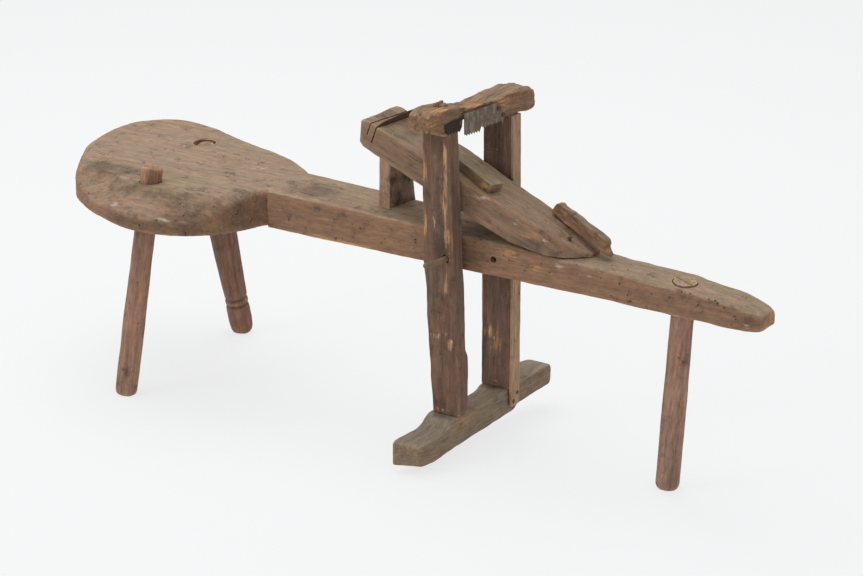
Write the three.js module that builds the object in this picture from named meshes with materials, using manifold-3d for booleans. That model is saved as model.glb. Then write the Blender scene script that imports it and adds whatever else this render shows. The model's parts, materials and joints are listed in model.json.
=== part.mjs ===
// Shaving horse: a three-legged bench whose seat, beam and nose are one plank, a sloping work table
// on the beam, and a swinging frame that clamps the work when the feet push its treadle.
// Sizes are in millimetres. +X runs from the seat to the nose, +Z is up and the floor is z = 0.
// While the pieces are made, x = 0 and y = 0 lie on the pivot pin's axis and the bench's middle line.
import * as THREE from 'three';
import { mergeVertices } from 'three/addons/utils/BufferGeometryUtils.js';
import Module from 'manifold-3d';

const wasm = await Module();
wasm.setup();

// Driving dimensions.
const gap = 0.3; // between pieces that touch
const seatTop = 420;
const plankThickness = 70.6;
const seatLength = 490;
const seatWidth = 432;
const seatEdgeRound = 15;
const nearWear = 40; // how far the near top edge of the seat is worn away
const neckX = -406;
const beamLength = 995; // from the neck to the nose tip
const beamWidthAtNeck = 133;
const beamWidthAtTaper = 87;
const taperX = 295;
const noseWidth = 66;
const noseHeight = 26;
const noseDip = 12; // how far the top falls away at the nose
const beamTopFall = 0.0371; // per millimetre of length
const beamUndersideFall = 0.0154;
const beamEdgeWear = 11;

const legRadius = 21.1;
const farLegBelly = 28;
const farLegFoot = 23.4;
const farTenonRadius = 18;
const farHoleRadius = 22;
const nearTenonStand = 28;
const farTenonSink = 5;
const noseTenonStand = 0.5;
const noseX = neckX + beamLength;
const nearLeg = { top: [-622, -135], foot: [-668, -178] };
const farLeg = { top: [-689, 116], foot: [-680, 210] };

const pivotZ = seatTop - 46;
const pinRadius = 5.5;
const pinNearStand = 54; // beyond the near upright
const pinFarStand = 8;
const pinCrook = 7;
const pinClearance = 0.8; // around the pin in the uprights
const spareHoleX = 71;

const tableSlope = 0.388;
const tableWidth = 117;
const tableHeight = 52;
const tableTopEndX = -204;
const tableTopEndZ = seatTop + 168;
const tableTipX = 250;
const kerfWidth = 2.2;
const kerfDepth = 30;
const jawX = -166;
const jawThickness = 1.6;
const jawStand = 16;
const riserThickness = 25;
const riserWidth = 66;
const riserX = -184;
const riserY = 25;
const riserTenonDepth = 28;

const uprightClearance = 5.5; // between the table's side and an upright
const nearUprightThickness = 32;
const farUprightThickness = 29;
const frameShoulderZ = 80; // top of the treadle under both uprights
const headUndersideZ = seatTop + 180;
const headHeight = 40;
const headTenonWidth = 24;
const headTenonThickness = 20;
const treadleTenonDepth = 34;
const headSkew = THREE.MathUtils.degToRad(9.6);
const headX = -3.4;
const headNearOverhang = 41.5; // beyond the uprights' outer faces
const headFarOverhang = 58.5;
const treadleSkew = THREE.MathUtils.degToRad(3.4);
const treadleX = 5.3;
const treadleNearOverhang = 116;
const treadleFarOverhang = 120;
const treadleHalfWidth = 30.5;
const frameX = -4; // sets the frame back, so that its weight hangs straight under the pivot pin
const pegRadius = 4.5;
const bladeThickness = 1.3;
const nailRadius = 1.7;
const nailHeadRadius = 4.2;
const nailHeadHeight = 1.6;

// The nose leg stands back from the nose tip, but always in front of the table's foot.
const noseLegX = Math.max(noseX - 163, tableTipX + 2 * legRadius);
const noseLeg = { top: [noseLegX, -7.5], foot: [noseLegX - 25.5, -2] };

// Heights of the beam's top and underside at x, and of the table's.
const beamTop = (x) => seatTop - beamTopFall * Math.max(0, x - neckX);
const beamUnderside = (x) => seatTop - plankThickness - beamUndersideFall * Math.max(0, x - neckX);
const tableTop = (x) => tableTopEndZ - tableSlope * (x - tableTopEndX);
const underTable = (x) => tableTop(x) - tableHeight;
const innerY = tableWidth / 2 + uprightClearance; // inner faces of the uprights
const nearOuterY = -innerY - nearUprightThickness;
const farOuterY = innerY + farUprightThickness;
const headNearEnd = nearOuterY - headNearOverhang;
const headFarEnd = farOuterY + headFarOverhang;
const treadleNearEnd = nearOuterY - treadleNearOverhang;
const treadleFarEnd = farOuterY + treadleFarOverhang;
const pinNearEnd = nearOuterY - pinNearStand;
const pinFarEnd = farOuterY + pinFarStand;

// Colours of old wood and iron.
const seatWood = { color: 0x8a7460, roughness: 0.75, metalness: 0 };
const legWood = { color: 0x7a4f3c, roughness: 0.7, metalness: 0 };
const frameWood = { color: 0x6f5545, roughness: 0.8, metalness: 0 };
const bareWood = { color: 0xa5713d, roughness: 0.8, metalness: 0 };
const bladeIron = { color: 0x6b655f, roughness: 0.55, metalness: 0.8 };
const rustIron = { color: 0x4a3326, roughness: 0.85, metalness: 0.4 };

// A closed three.js geometry as a solid that can be cut and joined, and back again.
function solid(geometry) {
  const bare = geometry.clone();
  bare.deleteAttribute('normal');
  bare.deleteAttribute('uv');
  const merged = mergeVertices(bare, 1e-4);
  const vertProperties = new Float32Array(merged.attributes.position.array);
  const triVerts = new Uint32Array(merged.index.array);
  return new wasm.Manifold(new wasm.Mesh({ numProp: 3, vertProperties, triVerts }));
}

function geometryOf(body) {
  const mesh = body.getMesh();
  const geometry = new THREE.BufferGeometry();
  geometry.setAttribute('position', new THREE.BufferAttribute(mesh.vertProperties, 3));
  geometry.setIndex(new THREE.BufferAttribute(mesh.triVerts, 1));
  geometry.computeVertexNormals();
  return geometry;
}

// Turns a drawing's x and y, extruded along z, into y and z, extruded along x.
const standAcross = new THREE.Matrix4().set(0, 0, 1, 0, 1, 0, 0, 0, 0, 1, 0, 0, 0, 0, 0, 1);

// An outline of [a, b] points extruded along one axis: 'x' takes [y, z], 'y' takes [x, z], 'z' [x, y].
function slab(outline, axis, from, to) {
  const points = outline.map(([a, b]) => new THREE.Vector2(a, b));
  if (THREE.ShapeUtils.area(points) < 0) points.reverse();
  const settings = { depth: to - from, bevelEnabled: false };
  const geometry = new THREE.ExtrudeGeometry(new THREE.Shape(points), settings);
  geometry.translate(0, 0, from);
  if (axis === 'x') geometry.applyMatrix4(standAcross);
  if (axis === 'y') geometry.rotateX(Math.PI / 2).translate(0, from + to, 0);
  return solid(geometry);
}

function block(low, high) {
  const size = high.map((value, i) => value - low[i]);
  const geometry = new THREE.BoxGeometry(...size);
  geometry.translate(...low.map((value, i) => value + size[i] / 2));
  return solid(geometry);
}

// A geometry made along its own Y axis, moved so that Y runs from one point towards another.
function aim(geometry, from, to) {
  const start = new THREE.Vector3(...from);
  const direction = new THREE.Vector3(...to).sub(start).normalize();
  geometry.applyQuaternion(new THREE.Quaternion().setFromUnitVectors(new THREE.Vector3(0, 1, 0), direction));
  geometry.translate(...start.toArray());
  return geometry;
}

// A turned piece: its profile is a list of [radius, distance] points, closed on the axis at both ends.
function turned(profile, from, to, sides = 24) {
  const points = profile.map(([radius, distance]) => new THREE.Vector2(radius, distance));
  return solid(aim(new THREE.LatheGeometry(points, sides), from, to));
}

function rod(radius, from, to, sides = 24) {
  const length = new THREE.Vector3(...from).distanceTo(new THREE.Vector3(...to));
  return turned([[0, 0], [radius, 0], [radius, length], [0, length]], from, to, sides);
}

// A bar on its edge along a line, which takes a slanted strip of the given size off a corner there.
function edgeBar(from, to, size) {
  const start = new THREE.Vector3(...from);
  const length = start.distanceTo(new THREE.Vector3(...to));
  const overrun = 2; // past both ends, so that two bars in a row leave nothing between them
  const geometry = new THREE.BoxGeometry(size * Math.SQRT2, length + 2 * overrun, size * Math.SQRT2);
  geometry.rotateY(Math.PI / 4);
  geometry.translate(0, length / 2, 0);
  return solid(aim(geometry, from, to));
}

const horse = new THREE.Group();
horse.name = 'shaving_horse';

function addPart(name, body, look) {
  const mesh = new THREE.Mesh(geometryOf(body), new THREE.MeshStandardMaterial(look));
  mesh.name = name;
  horse.add(mesh);
}

// A nail: point, shank and flat head. `from` is the top of its head and `to` its point.
function nail(from, to) {
  const length = new THREE.Vector3(...from).distanceTo(new THREE.Vector3(...to));
  const head = [[0, 0], [nailHeadRadius, 0], [nailHeadRadius, nailHeadHeight], [nailRadius, nailHeadHeight]];
  return turned([...head, [nailRadius, length - 4], [0, length]], from, to, 12);
}

// The hole that a nail has made, a little larger than its shank and as deep as its point.
function nailHole(from, to) {
  const direction = new THREE.Vector3(...to).sub(new THREE.Vector3(...from)).normalize();
  const end = new THREE.Vector3(...to).addScaledVector(direction, 1);
  return rod(nailRadius + gap, from, end.toArray(), 12);
}

// The same with room for the head, for a nail driven below the surface.
function nailSeat(from, to) {
  const direction = new THREE.Vector3(...to).sub(new THREE.Vector3(...from)).normalize();
  const above = new THREE.Vector3(...from).addScaledVector(direction, -20);
  const under = new THREE.Vector3(...from).addScaledVector(direction, nailHeadHeight + gap);
  return rod(nailHeadRadius + gap, above.toArray(), under.toArray(), 12).add(nailHole(from, to));
}

// ---- Legs: round sticks whose upper ends are the tenons ----
const legTop = (leg) => [...leg.top, seatTop];
const legFoot = (leg) => [...leg.foot, 0];

// The point on a leg's axis at height z.
function alongLeg(leg, z) {
  const share = z / seatTop;
  return [0, 1].map((i) => leg.foot[i] + (leg.top[i] - leg.foot[i]) * share).concat(z);
}

function legLength(leg, z) {
  return new THREE.Vector3(...legFoot(leg)).distanceTo(new THREE.Vector3(...alongLeg(leg, z)));
}

// The hole for a leg's tenon, right through the plank.
function legHole(leg, radius) {
  return rod(radius, alongLeg(leg, seatTop - plankThickness - 50), alongLeg(leg, seatTop + 40));
}

const belowFloor = block([neckX - seatLength - 100, -seatWidth, -60], [noseX, seatWidth, 0]);
const kerfDrop = 24;
const wedgeThickness = 3.4;

// A wedge in a saw kerf across the top of a tenon: the solid of the kerf, and of the wedge in it.
function wedgePair(leg, topZ, radius, turn) {
  const pieces = [gap, 0].map((room) => {
    const half = wedgeThickness / 2 + room;
    const thin = 0.8 + room;
    const deep = kerfDrop + room;
    const above = room > 0 ? [[half, 20], [-half, 20]] : [];
    const outline = [[-half, 0], [-thin, -deep], [thin, -deep], [half, 0], ...above];
    const shape = new THREE.Shape(outline.map(([a, b]) => new THREE.Vector2(a, b)));
    const reach = room > 0 ? radius * 2 + 20 : radius * 2 - 1.5;
    const geometry = new THREE.ExtrudeGeometry(shape, { depth: reach, bevelEnabled: false });
    geometry.translate(0, 0, -reach / 2);
    geometry.rotateY(turn);
    return aim(geometry, alongLeg(leg, topZ), alongLeg(leg, topZ + 50));
  });
  return pieces.map(solid);
}

const nearTopZ = seatTop + nearTenonStand;
const farTopZ = seatTop - farTenonSink;
const noseTopZ = beamTop(noseLeg.top[0]) + noseTenonStand;

function plainLeg(leg, topZ, radius) {
  const length = legLength(leg, topZ);
  const foot = [[0, -12], [radius - 5, -12], [radius - 2, 0], [radius, 9]];
  const top = [[radius, length - 3], [radius - 3, length], [0, length]];
  return turned([...foot, ...top], legFoot(leg), legTop(leg)).subtract(belowFloor);
}

const [nearKerf, nearWedge] = wedgePair(nearLeg, nearTopZ, legRadius, 0.5);
addPart('near_seat_leg', plainLeg(nearLeg, nearTopZ, legRadius).subtract(nearKerf), legWood);
addPart('near_seat_leg_wedge', nearWedge, bareWood);

const [noseKerf, noseWedge] = wedgePair(noseLeg, noseTopZ, legRadius, 1.2);
addPart('nose_leg', plainLeg(noseLeg, noseTopZ, legRadius).subtract(noseKerf), legWood);
addPart('nose_leg_wedge', noseWedge, bareWood);

const [farKerf, farWedge] = wedgePair(farLeg, farTopZ, farTenonRadius, 0.3);
const farLength = legLength(farLeg, farTopZ);
const farShoulder = legLength(farLeg, seatTop - plankThickness - 7);
const grooves = [66, 81].flatMap((s) => [
  [farLegFoot, s - 4], [farLegFoot - 3, s - 1.5], [farLegFoot - 3, s + 1.5], [farLegFoot, s + 4],
]);
const farProfile = [
  [0, -14], [farLegFoot - 8, -14], [farLegFoot - 5, 0], [farLegFoot - 1, 12], ...grooves,
  [farLegBelly - 2, farShoulder * 0.43],
  [farLegBelly, farShoulder * 0.66],
  [farLegBelly - 0.5, farShoulder * 0.86],
  [farTenonRadius + 4, farShoulder],
  [farTenonRadius, farShoulder], [farTenonRadius, farLength], [0, farLength],
];
const farTurned = turned(farProfile, legFoot(farLeg), legTop(farLeg));
addPart('far_seat_leg', farTurned.subtract(belowFloor).subtract(farKerf), legWood);
addPart('far_seat_leg_wedge', farWedge, bareWood);

// ---- Bench plank: egg-shaped seat, tapering beam and blunt nose in one piece ----
// Seat outline: shares of the seat's length behind the neck and of its width, round from the near side.
const seatOutline = [
  [-0.06, -0.1], [0.03, -0.165], [0.055, -0.265], [0.115, -0.378], [0.236, -0.466], [0.361, -0.5],
  [0.49, -0.483], [0.64, -0.42], [0.761, -0.343], [0.86, -0.245], [0.945, -0.054], [0.985, 0.108],
  [1, 0.27], [0.979, 0.393], [0.915, 0.477], [0.825, 0.508], [0.696, 0.488], [0.52, 0.418],
  [0.366, 0.362], [0.201, 0.298], [0.087, 0.23], [-0.03, 0.1],
].map(([along, across]) => new THREE.Vector3(neckX - along * seatLength, across * seatWidth, 0));
const seatCurve = new THREE.CatmullRomCurve3(seatOutline, true, 'centripetal');
const seatPoints = seatCurve.getPoints(64).slice(0, -1).map((p) => new THREE.Vector2(p.x, p.y));
if (THREE.ShapeUtils.area(seatPoints) < 0) seatPoints.reverse();
const seatShape = new THREE.ExtrudeGeometry(new THREE.Shape(seatPoints), {
  depth: plankThickness - 2 * seatEdgeRound,
  bevelThickness: seatEdgeRound,
  bevelSize: seatEdgeRound,
  bevelOffset: -seatEdgeRound,
  bevelSegments: 3,
});
seatShape.translate(0, 0, seatTop - plankThickness + seatEdgeRound);

const beamSide = [
  [neckX - 70, seatTop], [neckX, seatTop], [taperX, beamTop(taperX)],
  [noseX - 90, beamTop(noseX - 90) - noseDip / 2],
  [noseX - 38, beamTop(noseX - 38) - noseDip * 1.6], [noseX - 9, beamTop(noseX) - noseDip * 3],
  [noseX, beamUnderside(noseX) + noseHeight / 2], [noseX - 10, beamUnderside(noseX)],
  [taperX, beamUnderside(taperX)], [neckX, beamUnderside(neckX)], [neckX - 70, beamUnderside(neckX)],
];
const beamPlanHalf = [
  [neckX - 70, beamWidthAtNeck / 2], [neckX, beamWidthAtNeck / 2], [taperX, beamWidthAtTaper / 2],
  [noseX - 117, beamWidthAtTaper / 2 - 5], [noseX - 44, noseWidth / 2], [noseX - 12, noseWidth / 3],
  [noseX, noseWidth / 7],
];
const beamPlan = [...beamPlanHalf, ...beamPlanHalf.map(([x, y]) => [x, -y]).reverse()];
const beam = slab(beamSide, 'y', -seatWidth, seatWidth).intersect(slab(beamPlan, 'z', 0, seatTop + 50));
let plank = solid(seatShape).add(beam);

// Worn edges: the seat's near rim, and the beam's two top edges.
for (const [[xa, ya], [xb, yb]] of [
  [[neckX - 30, -0.43], [neckX - 190, -0.5]],
  [[neckX - 150, -0.51], [neckX - 280, -0.475]],
  [[neckX - 240, -0.49], [neckX - 460, -0.22]],
]) {
  plank = plank.subtract(edgeBar([xa, ya * seatWidth, seatTop], [xb, yb * seatWidth, seatTop], nearWear));
}
for (const side of [-1, 1]) {
  const start = [neckX + 12, (side * beamWidthAtNeck) / 2, beamTop(neckX)];
  const middle = [taperX, (side * beamWidthAtTaper) / 2, beamTop(taperX)];
  const end = [noseX, (side * noseWidth) / 2, beamTop(noseX) - noseDip];
  plank = plank.subtract(edgeBar(start, middle, beamEdgeWear)).subtract(edgeBar(middle, end, beamEdgeWear));
}

// Holes for the tenons, the pivot pin and its spare position, and the mortise of the riser.
const riserTenon = { thickness: 12, width: 40 };
const mortiseRoom = [riserTenon.thickness / 2 + gap, riserTenon.width / 2 + gap];
plank = plank
  .subtract(legHole(nearLeg, legRadius + gap))
  .subtract(legHole(farLeg, farHoleRadius))
  .subtract(legHole(noseLeg, legRadius + gap))
  .subtract(rod(pinRadius + gap, [0, -100, pivotZ], [0, 100, pivotZ]))
  .subtract(rod(pinRadius - 0.3, [spareHoleX, -100, pivotZ - 1], [spareHoleX, 100, pivotZ - 1]))
  .subtract(block(
    [riserX - mortiseRoom[0], riserY - mortiseRoom[1], beamTop(riserX) - riserTenonDepth - 1],
    [riserX + mortiseRoom[0], riserY + mortiseRoom[1], beamTop(riserX) + 20],
  ));

// ---- Work table: a thick board sloping down to a feather edge on the beam ----
const footX = tableTipX - 55;
const footTopX = tableTipX - 65;
const tableSide = [
  [tableTopEndX - 9, underTable(tableTopEndX - 9)],
  [tableTopEndX - 15, tableTopEndZ - 37],
  [tableTopEndX, tableTopEndZ],
  [footTopX, tableTop(footTopX)], [tableTipX, beamTop(tableTipX) + 6], [tableTipX, beamTop(tableTipX) + gap],
  [footX, beamTop(footX) + gap], [footX - 45, beamTop(footX) + 9], [100, underTable(100)],
];
const half = tableWidth / 2;
const tablePlan = [
  [tableTopEndX - 20, -half + 3], [tableTopEndX - 20, half - 12], [tableTopEndX + 18, half], [-40, half - 2],
  [60, half - 14], [165, half - 26], [tableTipX, 14], [tableTipX, 0], [footX + 38, -28],
  [footTopX, -half + 1], [60, -half],
];
let table = slab(tableSide, 'y', -half - 5, half + 5).intersect(slab(tablePlan, 'z', 300, 700));
const slopeAngle = Math.atan(tableSlope);
const intoTable = [-Math.sin(slopeAngle), -Math.cos(slopeAngle)]; // x and z of a line square to the table top
const onTable = (x, y, depth) => [x + intoTable[0] * depth, y, tableTop(x) + intoTable[1] * depth];

// A saw kerf square to the table top, across its whole width.
function kerf(x, width, depth, skew) {
  const geometry = new THREE.BoxGeometry(width, depth * 2, tableWidth * 2);
  geometry.rotateX(Math.PI / 2);
  geometry.rotateZ(skew);
  geometry.rotateY(slopeAngle);
  geometry.translate(x, 0, tableTop(x));
  return solid(geometry);
}
const jawSkew = -0.06;
table = table
  .subtract(kerf(jawX, jawThickness + 2 * gap, kerfDepth, jawSkew))
  .subtract(kerf(jawX - 13, kerfWidth, kerfDepth * 0.7, jawSkew));

// The jaw plate: a scrap of blade standing in the kerf, whose top edge the work bears on.
const jawPlateOutline = [
  [-half + 6, -kerfDepth + 1], [half - 2, -kerfDepth + 1], [half + 1, jawStand - 3], [half - 14, jawStand],
  [10, jawStand - 1], [-half + 20, jawStand - 6], [-half + 2, jawStand - 12],
];
const jawShape = new THREE.ExtrudeGeometry(
  new THREE.Shape(jawPlateOutline.map(([a, b]) => new THREE.Vector2(a, b))),
  { depth: jawThickness, bevelEnabled: false },
);
jawShape.translate(0, 0, -jawThickness / 2);
jawShape.applyMatrix4(standAcross);
jawShape.rotateZ(jawSkew);
jawShape.rotateY(slopeAngle);
jawShape.translate(jawX, 0, tableTop(jawX));
addPart('jaw_plate', solid(jawShape), rustIron);

// ---- Riser block under the table's upper end, tenoned into the beam ----
const riserHalf = riserThickness / 2;
const riserSide = [
  [riserX - riserHalf - 1.5, beamTop(riserX - riserHalf) + gap],
  [riserX + riserHalf + 2, beamTop(riserX + riserHalf) + gap],
  [riserX + riserHalf, underTable(riserX + riserHalf) - gap],
  [riserX - riserHalf, underTable(riserX - riserHalf) - gap],
];
let riser = slab(riserSide, 'y', riserY - riserWidth / 2, riserY + riserWidth / 2);
riser = riser.add(block(
  [riserX - riserTenon.thickness / 2, riserY - riserTenon.width / 2, beamTop(riserX) - riserTenonDepth],
  [riserX + riserTenon.thickness / 2, riserY + riserTenon.width / 2, beamTop(riserX) + 10],
));

// Nails through the table: two into the riser, two through the feather edge into the beam.
const riserNails = [-18, 18].map((y) => {
  const top = [riserX - 4, riserY + y, tableTop(riserX - 4) - 2];
  return [top, [top[0], top[1], top[2] - 88]];
});
const footNails = [[footX + 8, -12], [footX - 12, 22]].map(([x, y]) => {
  const top = [x, y, tableTop(x) - 2];
  return [top, [x + 2, y, beamTop(x) - 34]];
});
for (const [from, to] of [...riserNails, ...footNails]) table = table.subtract(nailSeat(from, to));
for (const [from, to] of riserNails) riser = riser.subtract(nailHole(from, to));
for (const [from, to] of footNails) plank = plank.subtract(nailHole(from, to));
riserNails.forEach(([from, to], i) => addPart(`riser_nail_${i + 1}`, nail(from, to), rustIron));
footNails.forEach(([from, to], i) => addPart(`table_foot_nail_${i + 1}`, nail(from, to), rustIron));
addPart('riser_block', riser, seatWood);

// ---- Two sticks nailed along the table top ----
// A stick's outline from above is given along and across it; it lies on the slope, turned by `turn`.
function stickOnTable(outline, low, high, x, y, turn) {
  const body = slab(outline, 'z', low, high);
  const laid = body.rotate([0, 0, turn]).rotate([0, THREE.MathUtils.radToDeg(slopeAngle), 0]);
  return laid.translate([x, y, tableTop(x)]);
}
const stripTurn = -8;
const stripX = -4;
const stripY = -12;
const stripOutline = [[-62, -15], [62, -21], [68, 8], [66, 14], [-58, 17]];
let strip = stickOnTable(stripOutline, gap, 17, stripX, stripY, stripTurn);
const stripNail = [onTable(46, -18, -15), onTable(46, -18, 30)];
strip = strip.subtract(nailSeat(...stripNail));
table = table.subtract(nailHole(...stripNail));
addPart('table_strip', strip, frameWood);
addPart('strip_nail', nail(...stripNail), rustIron);

const sideStickX = tableTipX - 42;
const sideStickTurn = -10;
const sideStickOutline = [[-64, -9], [-10, -12], [50, -12], [66, -6], [62, 5], [52, 10], [-20, 12], [-61, 9]];
let sideStick = stickOnTable(sideStickOutline, gap, 25, sideStickX, 21, sideStickTurn);
const stickNail = [onTable(sideStickX - 32, 26, -23), onTable(sideStickX - 32, 26, 24)];
sideStick = sideStick.subtract(nailSeat(...stickNail));
table = table.subtract(nailHole(...stickNail));
addPart('side_stick', sideStick, bareWood);
addPart('side_stick_nail', nail(...stickNail), rustIron);
addPart('work_table', table, seatWood);
addPart('bench_plank', plank, seatWood);

// ---- Swinging frame: two uprights astride the beam, head bar above, treadle below ----
const headTopZ = headUndersideZ + headHeight;
const headTenonTop = { near: headTopZ + 13, far: headTopZ - 4 };
const uprights = {
  near: {
    outline: [
      [-22, frameShoulderZ], [-29, pivotZ - 177], [-36, pivotZ - 64], [-41.5, pivotZ - 13],
      [-43.5, headUndersideZ], [10, headUndersideZ], [21, pivotZ - 2], [29, pivotZ - 174],
      [33, frameShoulderZ],
    ],
    y: [nearOuterY, -innerY],
  },
  far: {
    outline: [
      [-18, frameShoulderZ], [-19, pivotZ - 84], [-17.5, headUndersideZ],
      [43, headUndersideZ], [47, pivotZ - 84], [47, frameShoulderZ],
    ],
    y: [innerY, farOuterY],
  },
};

// Head bar and treadle are drawn along their own length and then turned by their skew about Z.
function skewed(body, skew, x) {
  return body.rotate([0, 0, -THREE.MathUtils.radToDeg(skew)]).translate([x + frameX, 0, 0]);
}
const headSide = [
  [headNearEnd, headUndersideZ + 14], [nearOuterY - 8, headUndersideZ], [8 - innerY, headUndersideZ],
  [20 - innerY, headUndersideZ + 20], [innerY - 52, headUndersideZ + 19], [innerY - 24, headUndersideZ + 2],
  [innerY - 8, headUndersideZ],
  [farOuterY + 12, headUndersideZ], [headFarEnd - 8, headUndersideZ - 3],
  [headFarEnd, headUndersideZ + 4], [headFarEnd - 2, headTopZ - 25], [headFarEnd - 18, headTopZ - 11],
  [farOuterY + 15, headTopZ - 1], [innerY + 8, headTopZ], [innerY - 46, headTopZ - 4], [-8, headTopZ - 6],
  [28 - innerY, headTopZ - 5], [-innerY, headTopZ + 5], [nearOuterY - 14, headTopZ + 8],
  [headNearEnd + 10, headTopZ + 7], [headNearEnd - 1, headTopZ - 6],
];
const headPlan = [
  [-25, headNearEnd + 10], [25, headNearEnd], [31, nearOuterY - 16], [31, -innerY - 6], [21, 18 - innerY],
  [19, 4],
  [27, innerY - 38], [30, innerY - 4], [29, headFarEnd - 26], [18, headFarEnd], [-20, headFarEnd],
  [-28, headFarEnd - 18], [-27, innerY - 14], [-22, 0], [-24, 14 - innerY], [-29, nearOuterY + 6],
];
let head = skewed(slab(headSide, 'x', -80, 80).intersect(slab(headPlan, 'z', 500, 760)), headSkew, headX);

const treadleSide = [
  [treadleNearEnd, 19], [treadleNearEnd + 8, 15], [nearOuterY - 24, 22], [0, 28], [farOuterY - 7, 32],
  [farOuterY + 3, 41], [treadleFarEnd - 6, 44],
  [treadleFarEnd, 54], [treadleFarEnd - 2, 76], [treadleFarEnd - 10, 88], [treadleFarEnd - 40, 88],
  [farOuterY + 8, frameShoulderZ], [nearOuterY - 6, frameShoulderZ - 2], [nearOuterY - 26, 60],
  [nearOuterY - 54, 52],
  [treadleNearEnd + 2, 49],
];
const treadlePlan = [
  [-27, treadleNearEnd + 4], [20, treadleNearEnd], [27, treadleNearEnd + 12],
  [treadleHalfWidth, nearOuterY - 34], [treadleHalfWidth, farOuterY + 27],
  [treadleHalfWidth - 1, treadleFarEnd - 10], [20, treadleFarEnd], [-18, treadleFarEnd - 4],
  [-27, treadleFarEnd - 34],
  [-treadleHalfWidth, farOuterY + 17], [-treadleHalfWidth, innerY - 4], [4 - treadleHalfWidth, innerY - 14],
  [4 - treadleHalfWidth, 14 - innerY], [-treadleHalfWidth, 4 - innerY],
  [-treadleHalfWidth, nearOuterY - 14],
];
const treadleBar = slab(treadleSide, 'x', -80, 80).intersect(slab(treadlePlan, 'z', -20, 160));
let treadle = skewed(treadleBar, treadleSkew, treadleX);

const tenonX = { near: [frameX - 17, frameX + 4], far: [frameX + 12.5, frameX + 11] };

// Tenons of one upright as boxes, larger by `room` for the mortises.
function tenons(name, room) {
  const { y } = uprights[name];
  const [topMiddle, bottomMiddle] = tenonX[name];
  const low = (y[0] + y[1] - headTenonThickness) / 2 - room;
  const high = (y[0] + y[1] + headTenonThickness) / 2 + room;
  const w = headTenonWidth / 2 + room;
  const topEnd = headTenonTop[name] + (room > 0 ? 60 : 0);
  const bottomEnd = frameShoulderZ - treadleTenonDepth - room;
  return [
    block([topMiddle - w, low, headUndersideZ - 5], [topMiddle + w, high, topEnd]),
    block([bottomMiddle - w, low, bottomEnd], [bottomMiddle + w, high, frameShoulderZ + 5]),
  ];
}

const cheek = { low: 46, thickness: 5.5, outerX: frameX + 47 };
const cheekX = cheek.outerX - cheek.thickness;
for (const name of ['near', 'far']) {
  const { outline, y } = uprights[name];
  const shoulder = { [headUndersideZ]: headUndersideZ - gap, [frameShoulderZ]: frameShoulderZ + gap };
  let body = slab(outline.map(([x, z]) => [x + frameX, shoulder[z] ?? z]), 'y', y[0], y[1]);
  for (const tenon of tenons(name, 0)) body = body.add(tenon);
  if (name === 'far') {
    body = body.add(block([cheekX, y[0], cheek.low], [cheek.outerX, y[1], frameShoulderZ + 40]));
  }
  body = body.subtract(rod(pinRadius + pinClearance, [0, y[0] - 5, pivotZ], [0, y[1] + 5, pivotZ]));
  uprights[name].body = body;
  const [topMortise, bottomMortise] = tenons(name, gap);
  head = head.subtract(topMortise);
  treadle = treadle.subtract(bottomMortise);
}
treadle = treadle.subtract(block([cheekX - gap, innerY - gap, cheek.low - gap], [90, farOuterY + gap, 120]));

// Wedges that spread the tenons in the head bar.
for (const name of ['near', 'far']) {
  const { y } = uprights[name];
  const x = tenonX[name][0];
  const middle = (y[0] + y[1]) / 2;
  const top = headTenonTop[name];
  const reach = (headTenonThickness - 3) / 2;
  const slot = block([x - 1.6 - gap, middle - 30, top - 22], [x + 1.6 + gap, middle + 30, top + 30]);
  const wedge = block([x - 1.6, middle - reach, top - 21.5], [x + 1.6, middle + reach, top]);
  uprights[name].body = uprights[name].body.subtract(slot);
  addPart(`${name}_head_wedge`, wedge, bareWood);
}

// Pegs across the treadle through both lower tenons.
const pegs = ['near', 'far'].map((name) => {
  const x = tenonX[name][1];
  const y = (uprights[name].y[0] + uprights[name].y[1]) / 2;
  return { name, y, from: [x - 44, y, 60], to: [name === 'near' ? x + 29 : cheekX - 4, y, 60] };
});
for (const peg of pegs) {
  const hole = rod(pegRadius + gap, peg.from, [peg.to[0] + 0.5, peg.y, 60], 16);
  treadle = treadle.subtract(hole);
  uprights[peg.name].body = uprights[peg.name].body.subtract(hole);
  addPart(`${peg.name}_treadle_peg`, rod(pegRadius, [peg.from[0] + 10, peg.y, 60], peg.to, 16), bareWood);
}

// Two nails hold the far upright's cheek against the treadle.
const cheekNails = [[-6, 56], [7, 70]].map(([aside, z]) => {
  const y = (innerY + farOuterY) / 2 + aside;
  return [[cheek.outerX + 0.4, y, z], [cheekX - 26, y, z]];
});
cheekNails.forEach(([from, to], i) => {
  uprights.far.body = uprights.far.body.subtract(nailSeat(from, to));
  treadle = treadle.subtract(nailHole(from, to));
  addPart(`cheek_nail_${i + 1}`, nail(from, to), rustIron);
});

// ---- Saw blade scraps nailed to the head bar's nose side, teeth down, to grip the work ----
const bladeX = 31.4;
const teeth = (y0, y1, z, pitch, drop) => {
  const count = Math.round((y1 - y0) / pitch);
  const tooth = (i) => [[y0 + i * pitch, z], [y0 + (i + 0.7) * pitch, z - drop]];
  return Array.from({ length: count }, (_, i) => tooth(i)).flat();
};
const bladeLow = headUndersideZ - 2;
const bladeOutline = [
  [10 - innerY, headUndersideZ + 30], [11 - innerY, bladeLow - 5],
  ...teeth(13 - innerY, -12, bladeLow - 4, 6.5, 4),
  [-9, bladeLow + 1], ...teeth(-7, innerY - 18, bladeLow + 1, 5, 3.4), [innerY - 16, bladeLow - 8],
  [innerY - 12, bladeLow + 6], [innerY - 9, headUndersideZ + 14], [innerY - 20, headUndersideZ + 24],
  [innerY - 34, headUndersideZ + 32],
];
const bladeNails = [[innerY - 28, headUndersideZ + 22], [innerY - 16, headUndersideZ + 8]];
let blade = slab(bladeOutline, 'x', bladeX, bladeX + bladeThickness);
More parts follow.
